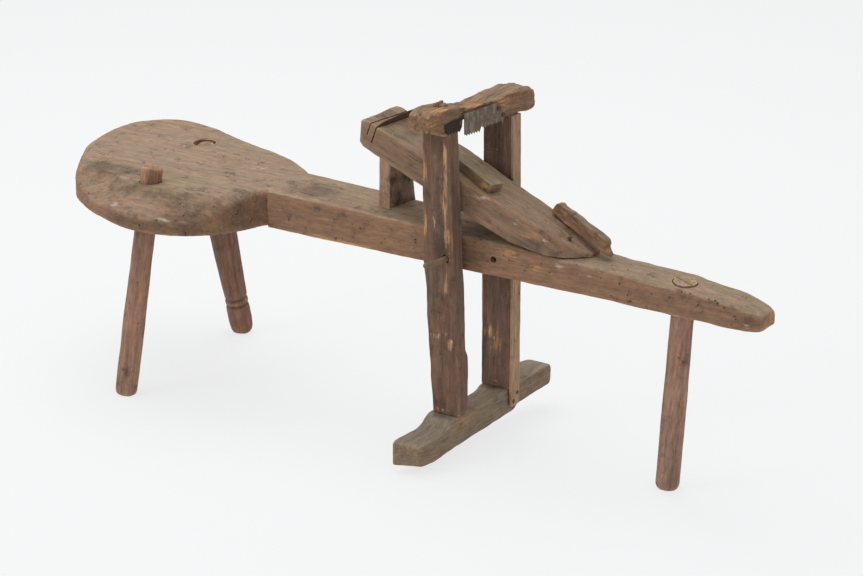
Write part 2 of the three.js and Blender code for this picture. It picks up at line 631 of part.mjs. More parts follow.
const offcutOutline = [
  [nearOuterY - 8, headUndersideZ + 20], [nearOuterY - 5, headUndersideZ + 8],
  ...teeth(nearOuterY - 3, 2 - innerY, headUndersideZ + 6, 7, 5), [4 - innerY, headUndersideZ + 9],
  [6 - innerY, headUndersideZ + 26], [-innerY - 16, headUndersideZ + 25],
];
let offcut = slab(offcutOutline, 'x', bladeX, bladeX + bladeThickness);
const offcutNail = [-innerY - 1, headUndersideZ + 18];
const headNails = [...bladeNails, offcutNail].map(([y, z]) => {
  const top = [bladeX + bladeThickness + 2, y, z];
  return [top, [bladeX - 20, y, z]];
});
for (const [from, to] of headNails) {
  blade = blade.subtract(nailHole(from, to));
  offcut = offcut.subtract(nailHole(from, to));
  head = head.subtract(skewed(nailHole(from, to), headSkew, headX));
}
addPart('saw_blade', skewed(blade, headSkew, headX), bladeIron);
addPart('blade_offcut', skewed(offcut, headSkew, headX), rustIron);
['blade_nail_1', 'blade_nail_2', 'offcut_nail'].forEach((name, i) => {
  addPart(name, skewed(nail(...headNails[i]), headSkew, headX), rustIron);
});

addPart('head_bar', head, bareWood);
addPart('near_upright', uprights.near.body, frameWood);
addPart('far_upright', uprights.far.body, frameWood);
addPart('treadle', treadle, frameWood);

// ---- Pivot pin: a whittled stick, straight in its bores and crooked outside ----
const pinPath = new THREE.CatmullRomCurve3([
  [-pinCrook, pinNearEnd, pivotZ + 1.5], [-pinCrook * 0.4, pinNearEnd + 22, pivotZ + 0.5],
  [0, nearOuterY - 4, pivotZ],
  [0, -40, pivotZ], [0, 40, pivotZ], [0, pinFarEnd, pivotZ],
].map((p) => new THREE.Vector3(...p)), false, 'centripetal');
const pinSection = new THREE.Shape();
pinSection.absarc(0, 0, pinRadius, 0, Math.PI * 2);
const pinSettings = { steps: 40, curveSegments: 10, extrudePath: pinPath };
const pinGeometry = new THREE.ExtrudeGeometry(pinSection, pinSettings);
addPart('pivot_pin', solid(pinGeometry), legWood);

// The origin is under the middle of the whole horse, on the floor.
const bounds = new THREE.Box3().setFromObject(horse);
const middle = bounds.getCenter(new THREE.Vector3());
horse.position.set(-middle.x, -middle.y, -bounds.min.z);
export default horse;
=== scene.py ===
import json
import math

import bmesh
import bpy
import numpy as np
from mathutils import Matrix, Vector, noise


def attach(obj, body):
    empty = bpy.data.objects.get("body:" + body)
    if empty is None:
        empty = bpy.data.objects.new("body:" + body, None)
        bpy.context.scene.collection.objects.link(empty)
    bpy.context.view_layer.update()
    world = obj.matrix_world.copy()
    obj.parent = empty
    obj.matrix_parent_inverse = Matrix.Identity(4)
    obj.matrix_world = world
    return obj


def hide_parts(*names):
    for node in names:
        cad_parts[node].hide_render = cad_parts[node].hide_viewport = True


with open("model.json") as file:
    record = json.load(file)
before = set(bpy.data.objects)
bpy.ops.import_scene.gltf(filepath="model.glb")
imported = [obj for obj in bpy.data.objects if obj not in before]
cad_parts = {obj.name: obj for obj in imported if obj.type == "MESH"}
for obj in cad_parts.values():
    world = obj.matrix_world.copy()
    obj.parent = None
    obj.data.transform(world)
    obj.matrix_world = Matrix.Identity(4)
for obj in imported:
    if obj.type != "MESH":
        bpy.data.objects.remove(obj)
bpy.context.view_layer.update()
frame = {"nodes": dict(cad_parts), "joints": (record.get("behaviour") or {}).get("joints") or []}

# ---- Bench plank ----
# Seat, beam and blunt nose are sawn and hewn from one thick hardwood plank. Sitters have worn the seat's
# near rim down to a broad slope, and hands and boots have rounded the beam's top edges.
swing = next(joint for joint in frame["joints"] if joint["name"] == "frame_swing")
pivot_x, pivot_y, pivot_height = swing["pos_m"]
pivot_z = pivot_height * 1000

seat_top = 420
plank_thickness = 70.6
seat_length = 490
seat_width = 432
neck_x = -406
nose_x = 589
voxel = 2.6  # spacing of the plank's mesh
edge_round = 6  # of the seat's underside


def to_frame(points):
    """Millimetres from the pivot axis and the bench's middle line, as metres in the frame."""
    return np.asarray(points, float) * 0.001 + (pivot_x, pivot_y, 0)


def from_frame(points):
    return (np.asarray(points, float) - (pivot_x, pivot_y, 0)) * 1000


def fall(x):
    return max(0, x - neck_x)


def beam_top(x):
    return seat_top - 0.0371 * fall(x)


def beam_underside(x):
    return seat_top - plank_thickness - 0.0154 * fall(x)


def skin(name, rings):
    """A closed mesh over a row of rings of points, each end covered by shrinking rings."""
    def cover(ring):
        middle = ring.mean(axis=0)
        return [ring + (middle - ring) * share for share in (0.15, 0.35, 0.55, 0.78)]

    rows = [*reversed(cover(rings[0])), *rings, *cover(rings[-1])]
    count = len(rows[0])
    corners = np.concatenate([*rows, [rings[0].mean(axis=0)], [rings[-1].mean(axis=0)]])
    faces = []
    for row in range(len(rows) - 1):
        for i in range(count):
            j = (i + 1) % count
            a, b = row * count, (row + 1) * count
            faces.append((a + i, a + j, b + j, b + i))
    last = (len(rows) - 1) * count
    for i in range(count):
        j = (i + 1) % count
        faces.append((j, i, len(corners) - 2))
        faces.append((last + i, last + j, len(corners) - 1))
    mesh = bpy.data.meshes.new(name)
    mesh.from_pydata(to_frame(corners).tolist(), [], faces)
    shaped = bmesh.new()
    shaped.from_mesh(mesh)
    bmesh.ops.recalc_face_normals(shaped, faces=shaped.faces)
    shaped.to_mesh(mesh)
    shaped.free()
    piece = bpy.data.objects.new(name, mesh)
    bpy.context.scene.collection.objects.link(piece)
    return piece


def shrink(ring, amount):
    """The ring with every point moved towards its middle by an amount."""
    inward = ring.mean(axis=0) - ring
    reach = np.linalg.norm(inward, axis=1, keepdims=True)
    return ring + inward / np.maximum(reach, 1e-6) * np.minimum(amount, reach * 0.9)


def ring_of(corners, counts, wobble, at):
    """Points round a section whose corners are [x, y, z, rounding]; the rounding wanders along the piece."""
    total = len(corners)
    ins, outs = [], []
    for i in range(total):
        point, before, after = corners[i][:3], corners[i - 1][:3], corners[(i + 1) % total][:3]
        worn = corners[i][3] * (1 + wobble * noise.noise(Vector((at / 28, i * 7.3, 2.1))))
        for other, store in ((before, ins), (after, outs)):
            side = other - point
            length = np.linalg.norm(side)
            store.append(point + side / length * min(worn, 0.45 * length))
    points = []
    for i in range(total):
        point = corners[i][:3]
        for t in (0, 0.2, 0.4, 0.6, 0.8, 1):
            points.append(ins[i] * (1 - t) ** 2 + point * 2 * t * (1 - t) + outs[i] * t ** 2)
        target = ins[(i + 1) % total]
        for t in np.linspace(0, 1, counts[i] + 2)[1:-1]:
            points.append(outs[i] * (1 - t) + target * t)
    return np.array(points)


def hewn(name, sections, step=4, ends=(3, 3), ease=1, wobble=0.5):
    """A bar shaved to shape: sections along its length, each a list of [x, y, z, rounding] corners."""
    keys = np.array(sections, float)
    middles = keys[:, :, :3].mean(axis=1)
    distance = np.concatenate([[0], np.cumsum(np.linalg.norm(np.diff(middles, axis=0), axis=1))])
    steps = max(2, round(distance[-1] / step))
    stops = np.linspace(0, distance[-1], steps + 1)
    flat = keys.reshape(len(keys), -1)
    rows = np.stack([np.interp(stops, distance, column) for column in flat.T], axis=1)
    for _ in range(ease):
        rows[1:-1] = (rows[:-2] + 2 * rows[1:-1] + rows[2:]) / 4
    rows = rows.reshape(len(rows), -1, 4)
    sides = np.linalg.norm(np.diff(np.concatenate([keys, keys[:, :1]], axis=1)[:, :, :3], axis=1), axis=2)
    counts = [max(1, round(side / step) - 2) for side in sides.mean(axis=0)]
    rings = [ring_of(row, counts, wobble, at) for row, at in zip(rows, stops)]
    for end, (rounding, inner) in enumerate(zip(ends, (1, -2))):
        outer = 0 if end == 0 else -1
        back = rings[inner].mean(axis=0) - rings[outer].mean(axis=0)
        back /= np.linalg.norm(back)
        edge = rings[outer]
        extra = []
        for angle in (90, 60, 30):
            turn = math.radians(angle)
            pulled = edge + back * rounding * (1 - math.sin(turn))
            extra.append(shrink(pulled, rounding * (1 - math.cos(turn))))
        clear = [r for r in rings if (r.mean(axis=0) - edge.mean(axis=0)) @ back > rounding * 1.3]
        rings = [*extra, *clear] if end == 0 else [*clear, *reversed(extra)]
    return skin(name, rings)


def turned(name, start, end, profile, sides=40, facets=0, depth=0.0):
    """A round stick; profile is [distance from start, radius]; facets are flats left by a drawknife."""
    start, end = Vector(start), Vector(end)
    along = (end - start).normalized()
    across = along.orthogonal().normalized()
    third = along.cross(across)
    rings = []
    for distance, radius in profile:
        ring = []
        for i in range(sides):
            turn = 2 * math.pi * i / sides
            cut = depth * abs(math.sin(facets * turn / 2 + 0.6)) if facets else 0
            wander = 1 + 0.012 * noise.noise(Vector((distance / 40, turn, facets)))
            out = (across * math.cos(turn) + third * math.sin(turn)) * (radius - depth + cut) * wander
            ring.append(start + along * distance + out)
        rings.append(np.array(ring))
    return skin(name, rings)


def cut(piece, tool):
    """Takes the tool's solid out of the piece, and throws the tool away."""
    modifier = piece.modifiers.new("cut", "BOOLEAN")
    modifier.object = tool
    modifier.operation = "DIFFERENCE"
    modifier.solver = "EXACT"
    settle(piece)
    bpy.data.objects.remove(tool)


def settle(piece):
    """Applies a piece's modifiers to its mesh."""
    bpy.context.view_layer.update()
    shown = piece.evaluated_get(bpy.context.evaluated_depsgraph_get())
    mesh = bpy.data.meshes.new_from_object(shown)
    piece.modifiers.clear()
    piece.data = mesh


def points_of(piece, what="co"):
    values = np.empty(len(piece.data.vertices) * 3)
    piece.data.vertices.foreach_get(what, values)
    return values.reshape(-1, 3)


def weather(piece, grain, dents=0.8, ridges=0.35, seed=0.0):
    """Old hand-worked wood: shallow dents, and ridges of hard grain standing along its length."""
    places = from_frame(points_of(piece))
    normals = points_of(piece, "normal")
    grain = np.array(Vector(grain).normalized())
    squeezed = places - np.outer(places @ grain, grain) * 0.93
    height = [
        dents * noise.noise(Vector(p / 47 + seed)) + dents * 0.4 * noise.noise(Vector(p / 15 + seed))
        + ridges * noise.noise(Vector(q / 4.6 + seed))
        for p, q in zip(places, squeezed)
    ]
    moved = to_frame(places + normals * np.array(height)[:, None])
    piece.data.vertices.foreach_set("co", moved.ravel())
    piece.data.update()


def mark_spots(piece, spots, attribute="bare"):
    """Marks spots in an attribute, by default where a layer is rubbed off, also soil, painted shade, limewash
    and painted highlights: each spot is a middle, and reaches along x, y and z.
    """
    places = from_frame(points_of(piece))
    value = np.zeros(len(places))
    for middle, reach in spots:
        near = 1 - np.linalg.norm((places - middle) / reach, axis=1)
        value = np.maximum(value, np.clip(near * 1.2, 0, 1))
    layer = piece.data.attributes.new(attribute, "FLOAT", "POINT")
    layer.data.foreach_set("value", value)


def finish_piece(piece, body, material, nodes, angle=40):
    """Smooth shading but for cut edges, then the finish, and the CAD parts the piece stands for."""
    piece.data.polygons.foreach_set("use_smooth", [True] * len(piece.data.polygons))
    piece.data.set_sharp_from_angle(angle=math.radians(angle))
    piece.data.materials.clear()
    piece.data.materials.append(material)
    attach(piece, body)
    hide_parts(*nodes)


def linear(code):
    """An sRGB hex colour as the linear values that the shader takes."""
    parts = [int(code[i:i + 2], 16) / 255 for i in (1, 3, 5)]
    return [p / 12.92 if p <= 0.04045 else ((p + 0.055) / 1.055) ** 2.4 for p in parts] + [1]


def node(tree, kind, inputs, output=0, **settings):
    """Adds a node with its settings and its inputs, each a value or a link; gives one of its outputs."""
    made = tree.nodes.new("ShaderNode" + kind)
    for key, value in settings.items():
        setattr(made, key, value)
    for key, value in inputs.items():
        if isinstance(value, bpy.types.NodeSocket):
            tree.links.new(value, made.inputs[key])
        else:
            made.inputs[key].default_value = value
    return made.outputs[output] if made.outputs else made


def math_node(tree, operation, a, b, c=None, clamp=False):
    """One arithmetic step; c is added where the step multiplies and adds."""
    inputs = {0: a, 1: b} if c is None else {0: a, 1: b, 2: c}
    return node(tree, "Math", inputs, operation=operation, use_clamp=clamp)


def noise_node(tree, where, scale, detail, roughness=0.5, distortion=0.0):
    return node(tree, "TexNoise", {"Vector": where, "Scale": scale, "Detail": detail, "Roughness": roughness,
                                   "Distortion": distortion})


def mapped(tree, value, low, high, to_low=0.0, to_high=1.0, soft=False):
    """The value stretched from low...high to to_low...to_high; soft eases both ends."""
    kind = "SMOOTHSTEP" if soft else "LINEAR"
    return node(tree, "MapRange", {"Value": value, "From Min": low, "From Max": high, "To Min": to_low,
                                   "To Max": to_high}, interpolation_type=kind)


def blend(tree, share, under, over):
    return node(tree, "Mix", {0: share, 6: under, 7: over}, 2, data_type="RGBA")


def old_wood(name, grain, body, pale, dark, bare, bleach=1.0, worms=1.0, flecks=0.0, streaks=1.0,
             paint=None, soil_and_shade_strength=0.6, arris=0.3, roughness=0.78):
    """Bare hardwood a century old: rings and fibres along the grain, faces that look up bleached grey, patchy
    grime, painted shade in the hollows and at marked spots, soil, limewash, painted highlights, rubbed edges,
    fine drying cracks and beetle holes."""
    material = bpy.data.materials.new(name)
    material.use_nodes = True
    tree = material.node_tree
    tree.nodes.clear()
    place = node(tree, "TexCoord", {}, "Object")
    facing = node(tree, "TexCoord", {}, "Normal")
    turn = Vector((1, 0, 0)).rotation_difference(Vector(grain)).to_euler()
    # Along the grain a pattern runs 12 times as far as across it, 5 times for tears and 30 for cracks.
    run, short_run, long_run = (
        node(tree, "Mapping", {"Vector": place, "Rotation": turn, "Scale": (times, 1, 1)}, vector_type="TEXTURE")
        for times in (12, 5, 30)
    )
    # Growth rings about 9 mm apart on the face, as contours of a slow noise.
    slow = noise_node(tree, run, 15, 2, distortion=0.3)
    waves = math_node(tree, "MULTIPLY", slow, 55)
    rings = node(tree, "Math", {0: waves}, operation="SINE")
    # Fibres: about 1 mm in the wood, drawn 4 mm wide so that they show.
    fibre = noise_node(tree, run, 260, 3, 0.65)
    streak = noise_node(tree, run, 70, 5, 0.6)
    blotch = noise_node(tree, place, 11, 5, 0.6)
    grime = noise_node(tree, place, 34, 7, 0.72)
    speck = noise_node(tree, place, 300, 3, 0.7)
    # Drying cracks: thin lines where a long noise passes its middle value.
    crack_noise = noise_node(tree, long_run, 42, 3, 0.5)
    crack_off = math_node(tree, "SUBTRACT", crack_noise, 0.5)
    crack_size = node(tree, "Math", {0: crack_off}, operation="ABSOLUTE")
    crack_line = mapped(tree, crack_size, 0.002, 0.009, 1, 0, soft=True)
    crack_where = mapped(tree, blotch, 0.56, 0.7, soft=True)
    cracks = math_node(tree, "MULTIPLY", crack_line, crack_where)
    # Beetle holes of about 2 mm, 9 mm apart where they are thick.
    cells = node(tree, "TexVoronoi", {"Vector": place, "Scale": 110, "Randomness": 1})
    hole = mapped(tree, cells, 0.14, 0.22, 1, 0, soft=True)
    hole_where = mapped(tree, grime, 0.5, 0.6, soft=True)
    holes = math_node(tree, "MULTIPLY", hole, hole_where)
    holes = math_node(tree, "MULTIPLY", holes, worms, clamp=True)
    # Faces that look up are bleached.
    up = node(tree, "SeparateXYZ", {0: facing}, "Z")
    patchy = math_node(tree, "MULTIPLY_ADD", blotch, 0.6, -0.3)
    lit = math_node(tree, "ADD", up, patchy)
    bleached = mapped(tree, lit, 0.42, 0.9, to_high=bleach, soft=True)
    colour = blend(tree, bleached, linear(body), linear(pale))
    if paint:
        left_where = math_node(tree, "ADD", streak, grime)
        left = mapped(tree, left_where, 0.9, 1.06, to_high=0.75, soft=True)
        sheltered = math_node(tree, "SUBTRACT", 1.0, bleached)
        left = math_node(tree, "MULTIPLY", left, sheltered)
        colour = blend(tree, left, colour, linear(paint))
    # Old wood is never one hue: reddish clouds and greenish grey ones, a hand's breadth across.
    cloud = noise_node(tree, run, 24, 5, 0.7, 0.6)
    redder = mapped(tree, cloud, 0.5, 0.66, to_high=0.6)
    greyer = mapped(tree, cloud, 0.5, 0.36, to_high=0.7)
    hue = node(tree, "VectorMath", {0: colour, 1: (1.04, 0.9, 0.84)}, operation="MULTIPLY")
    colour = blend(tree, redder, colour, hue)
    hue = node(tree, "VectorMath", {0: colour, 1: (0.88, 0.96, 0.94)}, operation="MULTIPLY")
    colour = blend(tree, greyer, colour, hue)
    dirty = mapped(tree, grime, 0.52, 0.75, to_high=0.75, soft=True)
    colour = blend(tree, dirty, colour, linear(dark))
    # Marked spots take the dark colour: soil, and painted shade under and between parts.
    soiled_and_shaded = node(tree, "Attribute", {}, "Fac", attribute_name="soiled_and_shaded")
    soil_and_shade_edge = math_node(tree, "MULTIPLY_ADD", grime, 2.4, -1.2)
    soiled_and_shaded = math_node(tree, "ADD", soiled_and_shaded, soil_and_shade_edge)
    soiled_and_shaded = mapped(tree, soiled_and_shaded, 0.15, 1.0, to_high=soil_and_shade_strength)
    colour = blend(tree, soiled_and_shaded, colour, linear(dark))
    # Where the skin is rubbed or torn off, in ragged streaks along the grain.
    rubbed = node(tree, "Attribute", {}, "Fac", attribute_name="bare")
    torn = noise_node(tree, short_run, 150, 6, 0.8)
    ragged = math_node(tree, "MULTIPLY_ADD", torn, 3.4, -1.7)
    frayed = math_node(tree, "MULTIPLY_ADD", fibre, 1.6, -0.8)
    touched = math_node(tree, "GREATER_THAN", rubbed, 0.02)
    rubbed = math_node(tree, "ADD", rubbed, ragged)
    rubbed = math_node(tree, "ADD", rubbed, frayed)
    rubbed = mapped(tree, rubbed, 0.4, 1.05, to_high=0.85)
    rubbed = math_node(tree, "MULTIPLY", rubbed, touched)
    # Sharp edges are rubbed too.
    bend = node(tree, "NewGeometry", {}, "Pointiness")
    knocked = mapped(tree, bend, 0.51, 0.6)
    knocked = math_node(tree, "MULTIPLY", torn, knocked)
    knocked = mapped(tree, knocked, 0.12, 0.5, to_high=arris)
    rubbed = math_node(tree, "MAXIMUM", rubbed, knocked)
    colour = blend(tree, rubbed, colour, linear(bare))
    # Grain in light and dark.
    band = math_node(tree, "MULTIPLY_ADD", rings, 0.06 * streaks, 1.0)
    stripe = math_node(tree, "MULTIPLY_ADD", streak, 0.9 * streaks, 1.0 - 0.45 * streaks)
    thread = math_node(tree, "MULTIPLY_ADD", fibre, 0.5 * streaks, 1.0 - 0.25 * streaks)
    shade = math_node(tree, "MULTIPLY", band, stripe)
    shade = math_node(tree, "MULTIPLY", shade, thread)
    # Painted shade and highlight: hollows of low pointiness darken to 0.72, sharp convex edges lighten to 1.28.
    edge = mapped(tree, bend, 0.44, 0.56, 0.72, 1.28)
    shade = math_node(tree, "MULTIPLY", shade, edge)
    mottle = noise_node(tree, short_run, 190, 5, 0.8)
    mottled = math_node(tree, "MULTIPLY_ADD", mottle, 1.5, 0.23)
    shade = math_node(tree, "MULTIPLY", shade, mottled)
    colour = node(tree, "VectorMath", {0: colour, "Scale": shade}, operation="SCALE")
    deep = math_node(tree, "MAXIMUM", cracks, holes)
    depth_tone = math_node(tree, "MULTIPLY", cracks, 0.5)
    depth_tone = math_node(tree, "MULTIPLY_ADD", holes, 0.85, depth_tone, clamp=True)
    colour = blend(tree, depth_tone, colour, linear("#2a1c14"))
    # Splashes of limewash, and painted highlights at some edges, broken up.
    limed_and_highlighted = node(tree, "Attribute", {}, "Fac", attribute_name="limed_and_highlighted")
    splash = math_node(tree, "MULTIPLY_ADD", mottle, 5.0, -2.6)
    splashed = math_node(tree, "GREATER_THAN", limed_and_highlighted, 0.02)
    limed_and_highlighted = math_node(tree, "ADD", limed_and_highlighted, splash)
    limed_and_highlighted = mapped(tree, limed_and_highlighted, 0.45, 1.1, to_high=0.6)
    limed_and_highlighted = math_node(tree, "MULTIPLY", limed_and_highlighted, splashed)
    colour = blend(tree, limed_and_highlighted, colour, linear("#cfc3b3"))
    if flecks:
        fleck = mapped(tree, speck, 0.70, 0.74, to_high=flecks, soft=True)
        colour = blend(tree, fleck, colour, linear("#d8cdbf"))
    # Relief: fibres and rings stand, cracks and holes sink.
    relief = math_node(tree, "MULTIPLY", fibre, 0.5)
    relief = math_node(tree, "MULTIPLY_ADD", streak, 0.9, relief)
    relief = math_node(tree, "MULTIPLY_ADD", rings, 0.06, relief)
    relief = math_node(tree, "MULTIPLY_ADD", speck, 0.3, relief)
    relief = math_node(tree, "MULTIPLY_ADD", mottle, 0.9, relief)
    relief = math_node(tree, "MULTIPLY_ADD", rubbed, -0.25, relief)
    relief = math_node(tree, "MULTIPLY_ADD", deep, -0.9, relief)
    bump = node(tree, "Bump", {"Height": relief, "Strength": 0.8, "Distance": 0.0016})
    gloss = mapped(tree, streak, 0.3, 0.7, roughness - 0.1, roughness + 0.12)
    shader = node(tree, "BsdfPrincipled", {"Base Color": colour, "Roughness": gloss, "Normal": bump,
                                           "IOR": 1.45, "Specular IOR Level": 0.35})
    node(tree, "OutputMaterial", {"Surface": shader})
    return material


along_x = (1, 0, 0)
plank_wood = old_wood("bleached_plank_hardwood", along_x, body="#8b6a52", pale="#9d866e", dark="#564539",
                      bare="#b88a58", worms=1.0, flecks=0.4, streaks=0.8)

# The seat's outline in shares of its length behind the neck and of its width, round from the near side.
seat_outline = [
    (-0.06, -0.05), (-0.01, -0.11), (0.02, -0.16), (0.052, -0.265), (0.115, -0.38), (0.236, -0.47),
    (0.361, -0.506), (0.49, -0.488), (0.64, -0.423), (0.761, -0.346), (0.862, -0.247), (0.952, -0.054),
    (0.998, 0.108),
    (1.017, 0.27), (0.995, 0.393), (0.926, 0.485), (0.828, 0.522), (0.696, 0.5), (0.52, 0.425),
    (0.366, 0.368), (0.201, 0.303), (0.087, 0.233), (-0.03, 0.12),
]


def round_trip(points, per_side=8):
    """A smooth closed curve through points."""
    points = np.array(points, float)
    out = []
    for i in range(len(points)):
        a, b, c, d = (points[(i + k) % len(points)] for k in (-1, 0, 1, 2))
        for t in np.arange(per_side) / per_side:
            out.append(0.5 * (2 * b + (c - a) * t + (2 * a - 5 * b + 4 * c - d) * t ** 2
                              + (3 * b - a - 3 * c + d) * t ** 3))
    return np.array(out)


outline = round_trip([(neck_x - along * seat_length, across * seat_width) for along, across in seat_outline])
seat_middle = np.array([neck_x - 0.5 * seat_length, 0.0])
# How far the rim is worn: most on the near side, least at the far side and the neck.
rim_worn = np.array([
    np.clip((-(p[1]) - 20) / 150, 0, 1) * np.clip((neck_x + 10 - p[0]) / 90, 0, 1) for p in outline
])
rim_width = 8 + 44 * rim_worn
rim_drop = 7 + 39 * rim_worn
seat_rings = []
for inward in (1.0, 0.75, 0.5, 0.25, 0.08):
    flat = outline + (seat_middle - outline) * inward * 0.98
    seat_rings.append(np.column_stack([flat, np.full(len(flat), seat_top - plank_thickness)]))
toward = seat_middle - outline
toward /= np.linalg.norm(toward, axis=1, keepdims=True)
for angle in (0, 30, 60, 90):
    turn = math.radians(angle)
    flat = outline + toward * edge_round * (1 - math.sin(turn))
    height = seat_top - plank_thickness + edge_round * (1 - math.cos(turn))
    seat_rings.append(np.column_stack([flat, np.full(len(flat), height)]))
for angle in np.linspace(0, 90, 10):
    turn = math.radians(angle)
    # A plain rounding where the rim is little worn, near a straight slope where it is much worn.
    bluntness = 1.25 + 0.65 * rim_worn
    share_in = 1 - max(math.cos(turn), 1e-6) ** bluntness
    share_up = math.sin(turn) ** bluntness
    flat = outline + toward * (rim_width * share_in)[:, None]
    seat_rings.append(np.column_stack([flat, seat_top - rim_drop + rim_drop * share_up]))
inner = seat_rings[-1][:, :2]
for inward in (0.1, 0.25, 0.45, 0.65, 0.85, 0.98):
    flat = inner + (seat_middle - inner) * inward
    seat_rings.append(np.column_stack([flat, np.full(len(flat), seat_top)]))
plank = skin("bench_plank_worn", seat_rings)

beam_sections = []
for x, half_near, half_far, drop, rise, top_round in (
    (neck_x - 70, 40, 66.5, 0, 0, 2), (neck_x - 3, 40, 66.5, 0, 0, 2), (neck_x, 67.5, 66.5, 0, 0, 3),
    (neck_x + 14, 67, 66, 0, 0, 4),
    (-250, 63, 64, -2.5, 0, 6), (-100, 58.5, 59, -2.5, 0, 6), (60, 51.5, 54, -2.5, 0, 6),
    (200, 46.5, 47, 0, 0, 10), (295, 43.5, 43.5, 1, 0, 13), (425, 41, 41, 1.5, -1.5, 13),
    (472, 38.5, 38.5, 5, -2.5, 14),
    (520, 36, 36, 9, -3.5, 13), (548, 33, 33, 14, -4, 12), (564, 30, 29.5, 18, -3.5, 11),
    (580, 27, 26, 21, -2, 11),
):
    top, low = beam_top(x) - drop, beam_underside(x) + rise
    slumped = float(np.interp(x, (60, 295, 450), (0, 3, 7)))
    beam_sections.append([
        [x, -half_near, low, 4], [x, half_far, low, 4], [x, half_far, top, top_round],
        [x, -half_near * 0.5, top, 10], [x, -half_near, top - slumped, top_round * (1.5 if x > 250 else 1)],
    ])
beam = hewn("beam", beam_sections, ends=(3, 8), ease=0, wobble=0.4)
with bpy.context.temp_override(active_object=plank, selected_editable_objects=[plank, beam]):
    bpy.ops.object.join()
remesh = plank.modifiers.new("remesh", "REMESH")
remesh.mode = "VOXEL"
remesh.voxel_size = voxel * 0.001
smooth = plank.modifiers.new("smooth", "SMOOTH")
smooth.factor = 0.5
smooth.iterations = 1
settle(plank)
weather(plank, along_x, dents=0.9, ridges=0.4, seed=3.1)

# Round holes for the tenons, the pivot pin and its spare place.
leg_radius = 21.1
far_hole_radius = 22
pin_hole_radius = 6.2
spare_hole_x = 71
spare_hole_radius = 6.4
near_leg = ((-668, -178, 0), (-622, -135, seat_top))
far_leg = ((-680, 210, 0), (-689, 116, seat_top))
nose_leg = ((nose_x - 188.5, -2, 0), (nose_x - 163, -7.5, seat_top))


def on_line(ends, z):
    low, high = Vector(ends[0]), Vector(ends[1])
    return low + (high - low) * (z / high.z)


def bore(piece, start, end, radius, sides=32, facets=0, depth=0.0):
    length = (Vector(end) - Vector(start)).length
    cut(piece, turned("bore", start, end, [(0, radius), (length, radius)], sides, facets, depth))


for leg, radius in ((near_leg, leg_radius + 0.4), (far_leg, far_hole_radius), (nose_leg, leg_radius + 1.3)):
    bore(plank, on_line(leg, 280), on_line(leg, 470), radius)
bore(plank, (0, -90, pivot_z), (0, 90, pivot_z), pin_hole_radius)
bore(plank, (spare_hole_x, -90, pivot_z - 1), (spare_hole_x, 90, pivot_z - 1), spare_hole_radius)
mark_spots(plank, [
    ((583, -14, 340), (13, 26, 24)), ((580, 6, 352), (12, 22, 16)), ((104, -50, 390), (26, 12, 13)),
    ((160, -50, 372), (50, 10, 9)), ((-500, -210, 348), (120, 30, 9)), ((-250, -63, 350), (120, 12, 9)),
    ((470, -38, 330), (70, 12, 8)),
])
# Painted highlights: the two spots along the seat's near rim below its worn slope, and the strip on the neck's
# shoulder. The others are limewash.
mark_spots(plank, [
    ((-640, -195, 385), (50, 14, 8)), ((-540, -205, 378), (60, 8, 6)), ((262, -46, 378), (9, 8, 6)),
    ((200, -48, 384), (14, 8, 7)), ((552, -34, 343), (9, 10, 8)), ((430, -42, 336), (34, 8, 5)),
    ((-406, -66, 385), (5, 8, 40)), ((-500, 40, 421), (26, 14, 8)),
], "limed_and_highlighted")
# Painted shade: the spot on the beam's near side right of the near upright, and those on the beam's top under
# the table. The others darken the seat's worn near rim, the neck and the nose.
mark_spots(plank, [
    ((-610, -168, 412), (190, 40, 30)), ((-750, -110, 418), (150, 60, 24)), ((-600, -212, 366), (260, 24, 24)),
    ((-500, -185, 370), (90, 60, 60)), ((-440, -110, 380), (54, 90, 70)), ((-330, -10, 418), (90, 60, 10)),
    ((-660, 190, 420), (60, 26, 14)), ((30, -54, 375), (60, 12, 40)), ((90, 0, 400), (120, 30, 10)),
    ((200, -20, 395), (60, 30, 10)), ((-180, -20, 408), (50, 40, 8)),
    ((560, -30, 350), (50, 12, 22)), ((560, 0, 332), (60, 30, 8)),
], "soiled_and_shaded")
finish_piece(plank, "bench", plank_wood, ["bench_plank"], angle=60)

# ---- Legs ----
# Three round sticks shaved with a drawknife and driven through the plank. The far one is an old turned
# chair or bed post with beads near its foot. Thin wedges spread the tenons from above.
leg_wood = old_wood("brown_leg_wood", (0.1, 0.08, 1), body="#8f6e5a", pale="#9a8068", dark="#4a372d",
                    bare="#ad8058", bleach=1.0, worms=0.5, flecks=0.35, streaks=1.7)
turned_leg_wood = old_wood("dark_turned_leg_wood", (0, -0.2, 1), body="#765646", pale="#9a8068", dark="#46352c",
                           bare="#a67c55", bleach=1.0, worms=0.3, flecks=0.3, streaks=1.6)
painted_leg_wood = old_wood("leg_wood_with_old_red_paint", (0.1, 0, 1), body="#8f7360", pale="#a28d75",
                            dark="#4e3d33", bare="#ad8455", bleach=1.0, worms=0.5, paint="#93705f", flecks=0.4,
                            streaks=1.7)
tenon_stand = 28
near_length = (on_line(near_leg, seat_top + tenon_stand) - Vector(near_leg[0])).length
nose_stand = beam_top(nose_leg[1][0]) - 0.8
nose_length = (on_line(nose_leg, nose_stand) - Vector(nose_leg[0])).length
far_length = (on_line(far_leg, seat_top - 5) - Vector(far_leg[0])).length
far_shoulder = (on_line(far_leg, seat_top - plank_thickness - 7) - Vector(far_leg[0])).length


